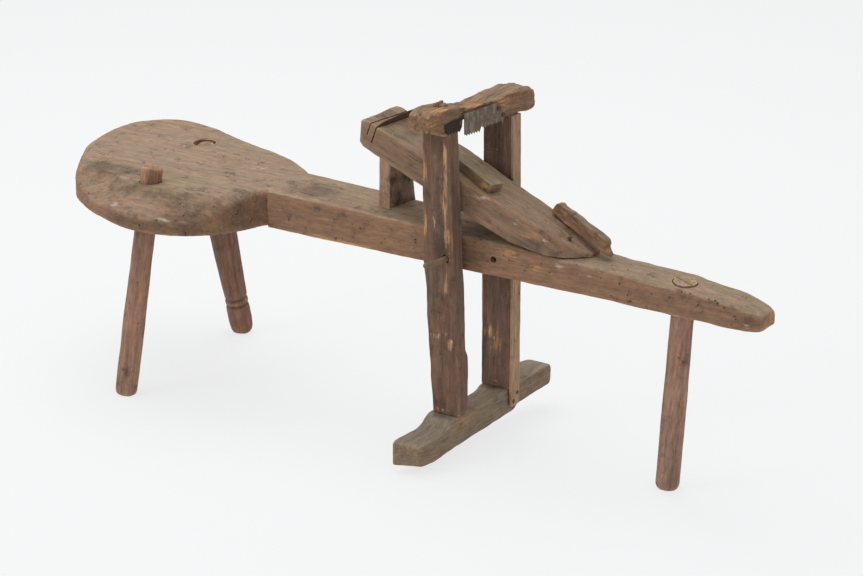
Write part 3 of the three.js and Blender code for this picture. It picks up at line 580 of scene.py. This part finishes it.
def shaved(length, radius, top_bevel):
    """Distances and radii of a plain leg: foot worn round, a slight swell, and a bevelled top."""
    stops = np.linspace(12, length - top_bevel - 4, 60)
    body = [(s, radius + 0.5 * math.sin(s / 70) - 0.6 * (s / length)) for s in stops]
    return [(0.2, radius - 5.5), (1.2, radius - 3.2), (4, radius - 1.6), (8, radius - 0.4), *body,
            (length - top_bevel, radius - 0.6), (length - top_bevel * 0.4, radius - top_bevel * 0.45),
            (length, radius - top_bevel)]


def flat_foot(piece):
    """Sets the lowest rim of a slanting leg level on the floor."""
    for vertex in piece.data.vertices:
        vertex.co.z = max(vertex.co.z, 0.0)


near_profile = shaved(near_length, leg_radius, 4)
near_piece = turned("near_seat_leg_shaved", *near_leg, near_profile, 40, 8, 0.9)
nose_piece = turned("nose_leg_shaved", *nose_leg, shaved(nose_length, leg_radius, 0.8), 40, 9, 0.8)
foot_radius = 23.2
belly_swell = 4.9
tenon_radius = 18


def swell(s):
    """The far leg's radius above its beads, swelling over about 260 mm."""
    return foot_radius + belly_swell * math.sin(math.pi * min(1, (s - 98) / 260) * 0.62)


belly = [
    (0.2, 13.5), (2, 17), (6, 20), (12, 22), (30, 23.4), (54, 23.6), (61.5, 23.2), (64, 19.8), (68, 19.8),
    (70.5, 23), (76.5, 23), (79, 19.8), (83, 19.8), (85.5, 22.8), (98, 23.2),
    *[(s, swell(s)) for s in np.linspace(106, far_shoulder - 12, 34)],
    (far_shoulder - 7, 26.4), (far_shoulder - 2, 23), (far_shoulder, 21), (far_shoulder + 1, tenon_radius),
    *[(s, tenon_radius) for s in np.linspace(far_shoulder + 6, far_length - 3, 14)], (far_length, 16),
]
far_piece = turned("far_seat_leg_turned", *far_leg, belly, 48, 0)
for piece, leg, cad_names in (
    (near_piece, near_leg, "near_seat_leg"), (nose_piece, nose_leg, "nose_leg"),
    (far_piece, far_leg, "far_seat_leg"),
):
    weather(piece, Vector(leg[1]) - Vector(leg[0]), dents=0.6, ridges=0.3, seed=leg[0][0] * 0.01)
    flat_foot(piece)
    foot = np.array(leg[0], float)
    head = np.array(on_line(leg, seat_top + 20))
    mark_spots(piece, [(foot + (8, -8, 4), (16, 16, 9)), (head, (34, 34, 40) if piece is near_piece else (1, 1, 1))])
    # Darker towards the foot, and painted shade in a band just under the plank.
    mark_spots(piece, [(foot + (0, 0, 20), (26, 26, 60)), (foot + (0, 0, 330), (30, 30, 24))], "soiled_and_shaded")
    wood = {"nose_leg": painted_leg_wood, "far_seat_leg": turned_leg_wood}.get(cad_names, leg_wood)
    finish_piece(piece, "bench", wood, [cad_names])

# ---- Riser block ----
# A short flared block that stands on the beam and holds up the table's upper end, nailed from above.
slope = 0.388
table_high = (-204, seat_top + 168)
table_height = 52


def table_top(x):
    return table_high[1] - slope * (x - table_high[0])


def under_table(x):
    return table_top(x) - table_height


# Painted light: the light body colour stands for the lit near face, and the very dark colour at full strength is
# painted shade.
riser_wood_lit_and_shaded = old_wood("riser_hardwood_lit_and_shaded", (0, 0, 1), body="#a68a72", pale="#a68a72", dark="#33271f",
                      bare="#a07a58", bleach=0.3, worms=0.4, soil_and_shade_strength=1.0)
riser_sections = []
for share in (0, 0.06, 0.3, 0.6, 1):
    flare = 5 * (1 - share) ** 2.2
    corners = []
    for x, y in ((-197, -7 - flare), (-172 + flare * 0.4, -9 - flare), (-167 + flare, 55 + flare),
                 (-190, 58 + flare * 0.6)):
        low = beam_top(x) + 0.4
        high = under_table(x) - 0.4
        corners.append([x, y, low + (high - low) * share, 2.5])
    riser_sections.append(corners)
riser = hewn("riser_block_flared", riser_sections, ends=(1.2, 0.6), wobble=0.6)
weather(riser, (0, 0, 1), dents=0.5, ridges=0.3, seed=5.0)
for vertex, place in zip(riser.data.vertices, from_frame(points_of(riser))):
    vertex.co.z = max(vertex.co.z, (beam_top(place[0]) + 0.5) * 0.001)
mark_spots(riser, [((-185, -12, 395), (12, 8, 14))])
# Painted shade on the face towards the nose, where the table shades it.
mark_spots(riser, [((-158, 25, 480), (24, 75, 230)), ((-158, 25, 430), (24, 75, 230))], "soiled_and_shaded")
finish_piece(riser, "bench", riser_wood_lit_and_shaded, ["riser_block"])

# ---- Work table ----
# A thick board that slopes down to a feather edge on the beam. Two saw kerfs cross it near its upper end,
# and its near edge is chipped and worn towards the foot.
down_slope = Vector((1, 0, -slope)).normalized()
table_wood = old_wood("work_table_hardwood", down_slope, body="#886c56", pale="#968069", dark="#55443a",
                      bare="#ab8158", bleach=0.9, worms=0.6, flecks=0.3, arris=0.6)
half = 58.5
table_sections = []
for x, near, far, top_shift, low in (
    (-215, -half + 4, half - 14, -8, None), (-208, -half + 2, half - 8, -3, None),
    (-196, -half + 1, half - 4, 0, None), (-120, -half + 0.5, half - 1, 0, None),
    (-40, -half + 0.5, half - 2, 0, None), (60, -half + 1, half - 14, 0, None),
    (100, -half + 1, half - 16, 0, None), (150, -half + 2, half - 18, -2, beam_top(150) + 7),
    (178, -half + 4, half - 22, -3, beam_top(178) + 3.5), (200, -45, 34, -2.5, beam_top(200) + 0.8),
    (220, -31, 30, -1, beam_top(220) + 0.6), (242, -8, 26, 0, beam_top(242) + 0.6),
):
    belly = float(np.interp(x, (-120, 20, 120), (0, 3.5, 3)))
    floor_z = under_table(x) - belly if low is None else low
    top_z = max(table_top(x) + top_shift if x < 190 else beam_top(x) + 3 + (250 - x) * 0.45, floor_z + 2.5)
    worn = 7 if x > 90 else 4
    lean = 6 if x < -195 else 0
    set_in = float(np.interp(x, (-10, 70, 150, 205, 235), (0, 4, 14, 17, 5)))
    table_sections.append([
        [x + lean, near, floor_z, 3], [x + lean, far, floor_z, 3], [x + lean * 1.5, far, top_z, 4],
        [x + lean * 1.5, near + set_in, top_z, worn],
    ])
table = hewn("work_table_worn", table_sections, step=3.4, ends=(6, 1.5), ease=1, wobble=1.2)
weather(table, down_slope, dents=0.9, ridges=0.45, seed=8.2)
slope_angle = math.atan(slope)


def laid_on_table(points, x, y, turn):
    """Points drawn along, across and above the table, turned and laid at x, y on its top."""
    points = np.atleast_2d(np.asarray(points, float))
    c, s = math.cos(turn), math.sin(turn)
    u = points[:, 0] * c - points[:, 1] * s
    v = points[:, 0] * s + points[:, 1] * c
    w = points[:, 2]
    c, s = math.cos(slope_angle), math.sin(slope_angle)
    return np.column_stack([x + u * c + w * s, y + v, table_top(x) - u * s + w * c])


def laid_sections(sections, x, y, turn):
    keys = np.array(sections, float)
    placed = laid_on_table(keys[:, :, :3].reshape(-1, 3), x, y, turn).reshape(len(keys), -1, 3)
    return np.concatenate([placed, keys[:, :, 3:]], axis=2)


def kerf_tool(x, width, depth, turn):
    w = width / 2
    corners = [
        [[-w, y, -depth, 0.1], [w, y, -depth, 0.1], [w, y, 12, 0.1], [-w, y, 12, 0.1]] for y in (-80, 80)
    ]
    return hewn("kerf", laid_sections(corners, x, 0, turn), step=40, ends=(0.1, 0.1), wobble=0)


jaw_x = -166
jaw_turn = -0.06
cut(table, kerf_tool(jaw_x, 3.4, 30, jaw_turn))
cut(table, kerf_tool(jaw_x - 13, 2.8, 21, jaw_turn))
mark_spots(table, [((150, -50, 430), (44, 12, 9)), ((-60, -58, 505), (20, 8, 24)), ((20, -56, 500), (60, 8, 6))])
mark_spots(table, [((50, -54, 484), (34, 7, 5)), ((120, -52, 450), (16, 8, 6)), ((170, -46, 426), (12, 8, 6))],
    "limed_and_highlighted")
mark_spots(table, [
    ((130, -54, 415), (110, 12, 22)), ((-150, 10, 560), (60, 60, 14)), ((190, -46, 404), (40, 14, 8)),
    ((-60, -58, 512), (22, 8, 8)), ((180, 5, 430), (26, 12, 14)), ((-190, 0, 583), (20, 50, 12)),
], "soiled_and_shaded")
finish_piece(table, "bench", table_wood, ["work_table"], angle=50)

# ---- Sticks nailed on the table ----
# A long squared strip lies down the middle, and a short split stick with torn ends lies beside the foot.
strip_wood = old_wood("strip_weathered_wood", down_slope, body="#7d6650", pale="#9a866d", dark="#4a3a2e",
                      bare="#b08a5e", bleach=0.9, worms=0.2)
split_wood = old_wood("split_stick_wood", down_slope, body="#84654c", pale="#8f7962", dark="#43332a",
                      bare="#a0764b", bleach=0.9, worms=0.3, streaks=1.8, arris=0.6)
strip_place = (-4, -12, math.radians(-8))  # x, y and turn on the table
strip_sections = [
    [[along - skew, near, 0.6, 1], [along, far, 0.6, 1], [along, far - 0.5, high, 1.6],
     [along - skew, near + 0.5, high, 1.4]]
    for along, near, far, high, skew in ((-64, -14, 17, 17, 0), (-20, -17, 17, 18, 0), (30, -19, 16, 18, 0),
                                         (60, -21, 14, 18, 0), (68, -21, 10, 17, 4))
]
strip = hewn("table_strip_squared", laid_sections(strip_sections, *strip_place), step=3, ends=(1.2, 1))
weather(strip, down_slope, dents=0.35, ridges=0.35, seed=11.4)
mark_spots(strip, [(laid_on_table([50, -20, 8], *strip_place)[0], (30, 8, 10))])
finish_piece(strip, "bench", strip_wood, ["table_strip"])

stick_turn = math.radians(-10)
stick_sections = [
    [[along, near, 0.8, 2], [along + skew, far, 0.8, 2], [along + skew, far - 2, high - dip, 5],
     [along, near + 2, high, 4]]
    for along, near, far, high, dip, skew in (
        (-66, -9, 4, 17, 8, 7), (-60, -11, 10, 27, 2, 0), (-54, -10, 10, 24, 3, 3), (-30, -13, 12, 26, 2, 0),
        (0, -12, 11, 24, 3, 0), (20, -14, 12, 25, 2, 0), (52, -13, 12, 24, 3, 0), (58, -13, 12, 22, 5, -1),
        (60, -13, 10, 12, 2, -2), (72, -11, 6, 10, 4, -2), (78, -7, 2, 5, 1, -3))
]
stick = hewn("side_stick_split", laid_sections(stick_sections, 208, 18, stick_turn), step=2.2, ends=(1.5, 1),
             wobble=0.9)
weather(stick, down_slope, dents=1.8, ridges=1.5, seed=14.7)
mark_spots(stick, [(laid_on_table([45, -8, 10], 208, 21, stick_turn)[0], (26, 10, 9))])
finish_piece(stick, "bench", split_wood, ["side_stick"])

# ---- Uprights of the swinging frame ----
# Two sawn boards astride the beam. Their dark skin has flaked to orange wood in long streaks. The far one
# is split, and its outer cheek runs down over the treadle.
frame_shift = -4
inner_y = 64
near_outer = -96
far_outer = 93
head_low = seat_top + 180
shoulder = 80
upright_wood = old_wood("upright_dark_wood", (0, 0, 1), body="#6f5646", pale="#7d6857", dark="#45362c",
                        bare="#bd9160", bleach=0.4, worms=0.3, flecks=0.6, streaks=1.35, arris=0.6)


def upright_sections(levels, y0, y1, rounding):
    return [[[x0 + frame_shift, y0, z, rounding], [x1 + frame_shift, y0, z, rounding],
             [x1 + frame_shift, y1, z, rounding], [x0 + frame_shift, y1, z, rounding]] for z, x0, x1 in levels]


near_levels = [
    (shoulder + 0.4, -21, 32), (105, -23, 33), (150, -26, 33), (188, -29, 32.5), (196, -29.4, 27.5),
    (250, -33, 25.5), (310, -36, 24), (361, -41, 21.5), (480, -42.5, 16), (head_low - 0.4, -43.5, 10),
]
near_sections = upright_sections(near_levels, near_outer, -inner_y, 2.6)
near_upright = hewn("near_upright_worn", near_sections, ends=(1.5, 1.2))
weather(near_upright, (0, 0, 1), dents=1.0, ridges=0.55, seed=17.9)
bore(near_upright, (0, near_outer - 10, pivot_z), (0, -inner_y + 10, pivot_z), 8.4, 24, 5, 1.2)
mark_spots(near_upright, [
    ((-1, near_outer, 490), (11, 14, 80)), ((0, near_outer, 560), (8, 12, 40)),
    ((3, near_outer, 418), (11, 12, 30)), ((-43, near_outer + 2, 530), (8, 14, 34)),
    ((2, near_outer, 325), (7, 10, 26)), ((12, near_outer, 215), (12, 10, 16)),
    ((-42, near_outer, 430), (5, 12, 50)),
])
mark_spots(near_upright, [
    ((-10, near_outer, 262), (8, 6, 7)), ((-22, near_outer, 226), (18, 5, 4)),
    ((0, near_outer, 234), (14, 5, 5)), ((12, near_outer, 222), (8, 5, 6)),
    ((-2, near_outer, 88), (26, 5, 4)), ((-22, near_outer, 440), (3, 5, 34)),
], "limed_and_highlighted")
# Painted shade at the top, under the head bar's overhang; the other two spots darken the face lower down.
mark_spots(near_upright, [((-15, near_outer, 585), (40, 20, 40)), ((-10, near_outer, 395), (30, 14, 50)),
                   ((-20, near_outer, 100), (40, 12, 16))], "soiled_and_shaded")
finish_piece(near_upright, "frame", upright_wood, ["near_upright"])

far_levels = [(shoulder + 0.4, -18, 40.6), (290, -19, 40.6), (head_low - 0.4, -17.5, 37)]
far_sections = upright_sections(far_levels, inner_y, far_outer, 2.4)
far_upright = hewn("far_upright_board", far_sections, ends=(1.5, 1.2))
weather(far_upright, (0, 0, 1), dents=0.8, ridges=0.5, seed=21.3)
bore(far_upright, (0, inner_y - 10, pivot_z), (0, far_outer + 10, pivot_z), 7.4, 24, 5, 0.8)
cheek_levels = [(47, 41.6, 46.8), (70, 41.4, 47), (290, 41.2, 47), (head_low - 0.4, 37.6, 43)]
cheek_sections = upright_sections(cheek_levels, inner_y + 0.5, far_outer - 0.5, 1.4)
cheek = hewn("far_upright_cheek", cheek_sections, ends=(1, 1))
weather(cheek, (0, 0, 1), dents=0.5, ridges=0.3, seed=24.0)
mark_spots(far_upright, [((-4, inner_y, 185), (18, 10, 18)), ((8, inner_y, 165), (16, 10, 30))])
mark_spots(far_upright, [
    ((8, inner_y, 92), (12, 5, 6)), ((6, inner_y, 176), (6, 5, 6)), ((-14, inner_y, 540), (5, 5, 8)),
], "limed_and_highlighted")
# Painted shade at the top, under the head bar; the lower spot darkens the face near its foot.
mark_spots(far_upright, [((0, inner_y, 560), (40, 20, 60)), ((-18, inner_y, 150), (14, 20, 90))], "soiled_and_shaded")
mark_spots(cheek, [((44, inner_y + 12, 300), (6, 14, 160))])
saw_out, saw_in, saw_width = inner_y - 4, inner_y + 2.2, 3.4
crack_tool = [
    [[x, saw_out, z, 0.1], [x, saw_in, z, 0.1],
     [x, saw_in, z + saw_width, 0.1], [x, saw_out, z + saw_width, 0.1]]
    for x, z in ((-30, 527), (10, 530))
]
cut(far_upright, hewn("crack", crack_tool, step=30, ends=(0.1, 0.1), wobble=0))
# Painted light: the cheek's paler wood stands for the lit face of the far upright that looks towards the nose.
cheek_wood_painted_light = old_wood("split_cheek_wood_painted_light", (0, 0, 1), body="#9c7e65", pale="#a08870", dark="#5b473a",
                      bare="#b98f68", bleach=0.3, worms=0.2)
finish_piece(far_upright, "frame", upright_wood, ["far_upright"])
finish_piece(cheek, "frame", cheek_wood_painted_light, ["far_upright"])

# ---- Treadle ----
# A stout foot bar below the uprights, scooped by boots at its near end and broken at its far end.
along_y = (0, 1, 0)
treadle_wood = old_wood("treadle_grey_wood", along_y, body="#806d58", pale="#8f8271", dark="#574a3f",
                        bare="#8f7355", bleach=0.9, worms=0.25, flecks=0.5, streaks=0.8)


def skewed(sections, angle, x):
    """Sections drawn straight across the bench, turned about the upright axis and moved."""
    keys = np.array(sections, float)
    c, s = math.cos(-angle), math.sin(-angle)
    placed = keys.copy()
    placed[:, :, 0] = keys[:, :, 0] * c - keys[:, :, 1] * s + x + frame_shift
    placed[:, :, 1] = keys[:, :, 0] * s + keys[:, :, 1] * c
    return placed


def between(stops, at):
    places, values = zip(*stops)
    return float(np.interp(at, places, values))


tread_low = [(-212, 14), (-204, 12), (-120, 21), (0, 28), (86, 32), (96, 41), (207, 46), (219, 54)]
tread_top = [(-212, 58), (-208, 61), (-150, 60), (-125, 62), (-104, 77), (-90, 79), (101, 79.6), (165, 87),
             (200, 87.5), (214, 80), (219, 72)]
tread_back = [(-212, -27), (-110, -29.5), (-68, -30), (-50, -27), (50, -27), (60, -30), (110, -30), (179, -27),
              (205, -16), (219, 2)]
tread_front = [(-212, 24), (-200, 29), (-130, 31), (120, 30), (204, 30), (219, 24)]
tread_stations = (-212, -206, -198, -180, -165, -150, -135, -122, -110, -101, -95, -80, -60, -40, 0, 40, 60, 80,
                  88, 94, 99, 120, 150, 175, 195, 204, 211, 216, 219)
tread_sections = []
for y in tread_stations:
    low, top = between(tread_low, y), between(tread_top, y)
    back, front = between(tread_back, y), between(tread_front, y)
    inside = 7 if -58 < y < 58 else 0
    far_chamfer = 9 if y > 110 else 5
    front_round = 7 if y > 150 else 4.5
    lead = 11 * max(0, min(1, (-y - 170) / 30))
    tread_sections.append([
        [back, y, low, 4], [front, y + lead, low + lead * 0.4, 5],
        [front, y + lead, top - lead * 0.3, front_round], [back, y, top - inside, far_chamfer],
    ])
tread_sections = skewed(tread_sections, math.radians(3.4), 5.3)
treadle = hewn("treadle_worn", tread_sections, ends=(4, 3), ease=1, wobble=0.7)
weather(treadle, along_y, dents=1.2, ridges=0.4, seed=27.5)
cheek_seat = [[[36.6, y, 45, 0.2], [90, y, 45, 0.2], [90, y, 130, 0.2], [36.6, y, 130, 0.2]]
              for y in (inner_y - 0.6, far_outer + 0.6)]
cut(treadle, hewn("cheek_seat", cheek_seat, step=30, ends=(0.1, 0.1), wobble=0))
mark_spots(treadle, [((10, -205, 50), (30, 14, 20)), ((28, -60, 60), (8, 60, 20))])
mark_spots(treadle, [((0, -100, 78), (40, 14, 8)), ((0, 60, 78), (40, 14, 8)), ((30, 90, 45), (12, 30, 16)),
              ((10, -212, 25), (40, 10, 20))], "soiled_and_shaded")
finish_piece(treadle, "frame", treadle_wood, ["treadle"])

# ---- Head bar ----
# A crooked bar whittled thin between the uprights. The near tenon stands through it, and its skin is
# torn back to orange wood.
head_wood = old_wood("head_bar_torn_wood", along_y, body="#80634b", pale="#937a62", dark="#4f3c2f",
                     bare="#b98a58", bleach=0.7, worms=0.3, flecks=0.5, streaks=1.6, arris=0.9)
head_under = [(-137, 612), (-104, 600.4), (-56, 600.4), (-44, 618), (12, 617), (40, 602), (56, 600.4),
              (105, 600.4), (143, 598), (151, 602)]
head_over = [(-138, 638), (-127, 646), (-110, 647), (-64, 645), (-36, 635), (-8, 634), (18, 636), (72, 641),
             (112, 641), (138, 637), (149, 629), (151, 626)]
head_back = [(-137, -22), (-127, -25), (-90, -29), (-50, -24), (0, -22), (50, -27), (133, -28), (151, -20)]
head_front = [(-137, 23), (-112, 30), (-70, 30), (-46, 21), (4, 19), (26, 27), (60, 29), (125, 28), (151, 18)]
head_stations = (-137, -133, -127, -118, -104, -90, -70, -60, -54, -46, -30, -10, 12, 28, 42, 56, 75, 95, 110,
                 122, 133, 141, 147, 151)
head_sections = []
for y in head_stations:
    low, top = between(head_under, y), between(head_over, y)
    back, front = between(head_back, y), between(head_front, y)
    head_sections.append([[back, y, low, 4], [front, y, low, 3], [front, y, top, 5.5], [back, y, top, 7]])
head_sections = skewed(head_sections, math.radians(9.6), -3.4)
head = hewn("head_bar_whittled", head_sections, step=2, ends=(2, 2), ease=1, wobble=1.1)
weather(head, along_y, dents=2.0, ridges=2.3, seed=31.6)
mark_spots(head, [
    ((10, -132, 624), (26, 14, 22)), ((24, -60, 640), (20, 60, 14)), ((30, 30, 625), (14, 60, 20)),
    ((0, -20, 634), (30, 50, 10)), ((0, -110, 646), (40, 34, 9)), ((20, 110, 612), (20, 50, 12)),
])
# Painted shade on the underside, near the near upright and in the middle.
mark_spots(head, [
    ((10, -80, 604), (40, 40, 10)), ((24, -84, 615), (10, 20, 14)), ((20, 0, 618), (24, 60, 6)),
], "soiled_and_shaded")
finish_piece(head, "frame", head_wood, ["head_bar"])
tenon_levels = ((630, -33, -9, -90, -70), (646, -33, -9, -90, -70), (650, -30, -11, -88, -72))
tenon_sections = [[[x0, y0, z, 4], [x1, y0, z, 4], [x1, y1, z, 4], [x0, y1, z, 4]]
                  for z, x0, x1, y0, y1 in tenon_levels]
tenon = hewn("near_tenon_end", tenon_sections, step=2, ends=(0.5, 2.5), wobble=0.5)
weather(tenon, (0, 0, 1), dents=0.8, ridges=0.4, seed=35.0)
finish_piece(tenon, "frame", head_wood, ["near_upright"])

# ---- Pivot pin ----
# A whittled hardwood stick, straight in its holes and crooked where it sticks out on the near side.
pin_wood = old_wood("whittled_pin_wood", along_y, body="#7b6450", pale="#8d775f", dark="#4a3a2e",
                    bare="#8f7355", bleach=0.6, worms=0)
pin_stops = [(-150, -7, 1.5, 4.3), (-148.5, -6.8, 1.4, 5), (-140, -5, 1, 5.3), (-128, -2.8, 0.5, 5.4),
             (-112, -0.8, 0.2, 5.3), (-100, 0, 0, 5.4), (-40, 0, 0, 5.4), (40, 0, 0, 5.4), (99, 0, 0, 5.2),
             (101, 0, 0, 4.2)]
pin_rings = []
for i in range(len(pin_stops) * 4 - 3):
    at = i / 4
    y, x, z, radius = (float(np.interp(at, range(len(pin_stops)), column)) for column in zip(*pin_stops))
    turns = [2 * math.pi * k / 28 for k in range(28)]
    pin_rings.append(np.array([
        (x + math.cos(t) * radius * (0.94 + 0.06 * abs(math.cos(3 * t + y / 30))), y,
         pivot_z + z + math.sin(t) * radius * (0.94 + 0.06 * abs(math.cos(3 * t + y / 30)))) for t in turns]))
pin = skin("pivot_pin_whittled", pin_rings)
weather(pin, along_y, dents=0.25, ridges=0.15, seed=38.0)
finish_piece(pin, "pin", pin_wood, ["pivot_pin"])

# ---- Iron ----
# Scraps of old saw blade grip the work under the head bar and stand in the table's kerf. They and the cut
# nails are mild steel, rusted brown with a little grey plate left.


def old_iron(name, rust, deep, plate, showing, roughness):
    """Rusted steel: brown scale in blotches, with duller grey metal where it has been handled."""
    material = bpy.data.materials.new(name)
    material.use_nodes = True
    tree = material.node_tree
    tree.nodes.clear()
    place = node(tree, "TexCoord", {}, "Object")
    drips = node(tree, "Mapping", {"Vector": place, "Scale": (1, 1, 3)}, vector_type="TEXTURE")
    patch = noise_node(tree, drips, 130, 6, 0.75)
    grit = noise_node(tree, place, 420, 4, 0.7)
    tone = mapped(tree, grit, 0.35, 0.68)
    scale_colour = blend(tree, tone, linear(deep), linear(rust))
    metal = mapped(tree, patch, 0.62 - showing * 0.3, 0.74 - showing * 0.3, soft=True)
    colour = blend(tree, metal, scale_colour, linear(plate))
    part_metal = math_node(tree, "MULTIPLY", metal, 0.7)
    gloss = node(tree, "MapRange", {"Value": metal, "To Min": roughness + 0.2, "To Max": roughness})
    height = math_node(tree, "MULTIPLY_ADD", patch, 0.6, grit)
    bump = node(tree, "Bump", {"Height": height, "Strength": 0.7, "Distance": 0.0006})
    shader = node(tree, "BsdfPrincipled", {"Base Color": colour, "Metallic": part_metal, "Roughness": gloss,
                                           "Normal": bump})
    node(tree, "OutputMaterial", {"Surface": shader})
    return material


saw_plate = old_iron("saw_plate_steel", "#75624f", "#4a3c32", "#87796a", 0.5, 0.55)
# Painted shade: the offcut's rust is darkened to the shade under the head bar.
offcut_iron_and_shade = old_iron("rusted_offcut_iron_painted_shade", "#3a2c24", "#1d1612", "#4b4038", 0.1, 0.75)
rusty = old_iron("rusted_scrap_iron", "#6a4a37", "#3a2a22", "#5f544b", 0.15, 0.7)
wedge_wood = old_wood("split_wedge_wood", (0, 0, 1), body="#6f543f", pale="#75624e", dark="#5b4634",
                      bare="#b08a5e", bleach=0.5, worms=0)
for name, cad in frame["nodes"].items():
    if name == "saw_blade":
        finish = saw_plate
    elif name == "blade_offcut":
        finish = offcut_iron_and_shade
    elif "nail" in name or name == "jaw_plate":
        finish = rusty
    elif "wedge" in name or "peg" in name:
        finish = wedge_wood
    else:
        continue
    cad.data.materials.clear()
    cad.data.materials.append(finish)

# ---- Studio ----
# A pale paper floor, one broad soft light above, and even light from all round.
floor_mesh = bpy.data.meshes.new("floor")
reach = 30
floor_corners = [(-reach, -reach, 0), (reach, -reach, 0), (reach, reach, 0), (-reach, reach, 0)]
floor_mesh.from_pydata(floor_corners, [], [(0, 1, 2, 3)])
floor = bpy.data.objects.new("paper_floor", floor_mesh)
bpy.context.scene.collection.objects.link(floor)
paper = bpy.data.materials.new("pale_paper")
paper.use_nodes = True
tree = paper.node_tree
tree.nodes.clear()
cool_white = (0.985, 0.995, 1, 1)
surface = node(tree, "BsdfPrincipled", {
    "Base Color": (0.2, 0.2, 0.2, 1), "Roughness": 0.9, "Specular IOR Level": 0,
    "Emission Color": cool_white, "Emission Strength": 0.73})
node(tree, "OutputMaterial", {"Surface": surface})
floor_mesh.materials.append(paper)

world = bpy.data.worlds.new("studio")
bpy.context.scene.world = world
world.use_nodes = True
background = world.node_tree.nodes["Background"]
background.inputs["Color"].default_value = cool_white
background.inputs["Strength"].default_value = 0.7

for name, place, size, power in (
    ("top_softbox", (-1.0, 0.5, 3.4), 2.6, 44), ("front_fill", (-2.4, -3.0, 2.2), 1.8, 30),
):
    light = bpy.data.lights.new(name, "AREA")
    light.shape = "SQUARE"
    light.size = size
    light.energy = power
    lamp = bpy.data.objects.new(name, light)
    lamp.location = place
    lamp.rotation_euler = (Vector((0, 0, 0.3)) - Vector(place)).to_track_quat("-Z", "Y").to_euler()
    bpy.context.scene.collection.objects.link(lamp)

camera_data = bpy.data.cameras.new("camera")
camera_data.lens = 105.99
camera_data.sensor_width = 36
camera_data.clip_end = 100
camera = bpy.data.objects.new("camera", camera_data)
# Set out from the pivot axis, so that the view holds if a leg's change moves the frame's middle.
camera.location = (pivot_x + 2.2452, pivot_y - 3.632, 1.8473)
aim = Vector((pivot_x - 0.09, pivot_y, 0.273)) - camera.location
camera.rotation_euler = aim.to_track_quat("-Z", "Y").to_euler()
bpy.context.scene.collection.objects.link(camera)
bpy.context.scene.camera = camera
bpy.context.scene.view_settings.view_transform = "Standard"
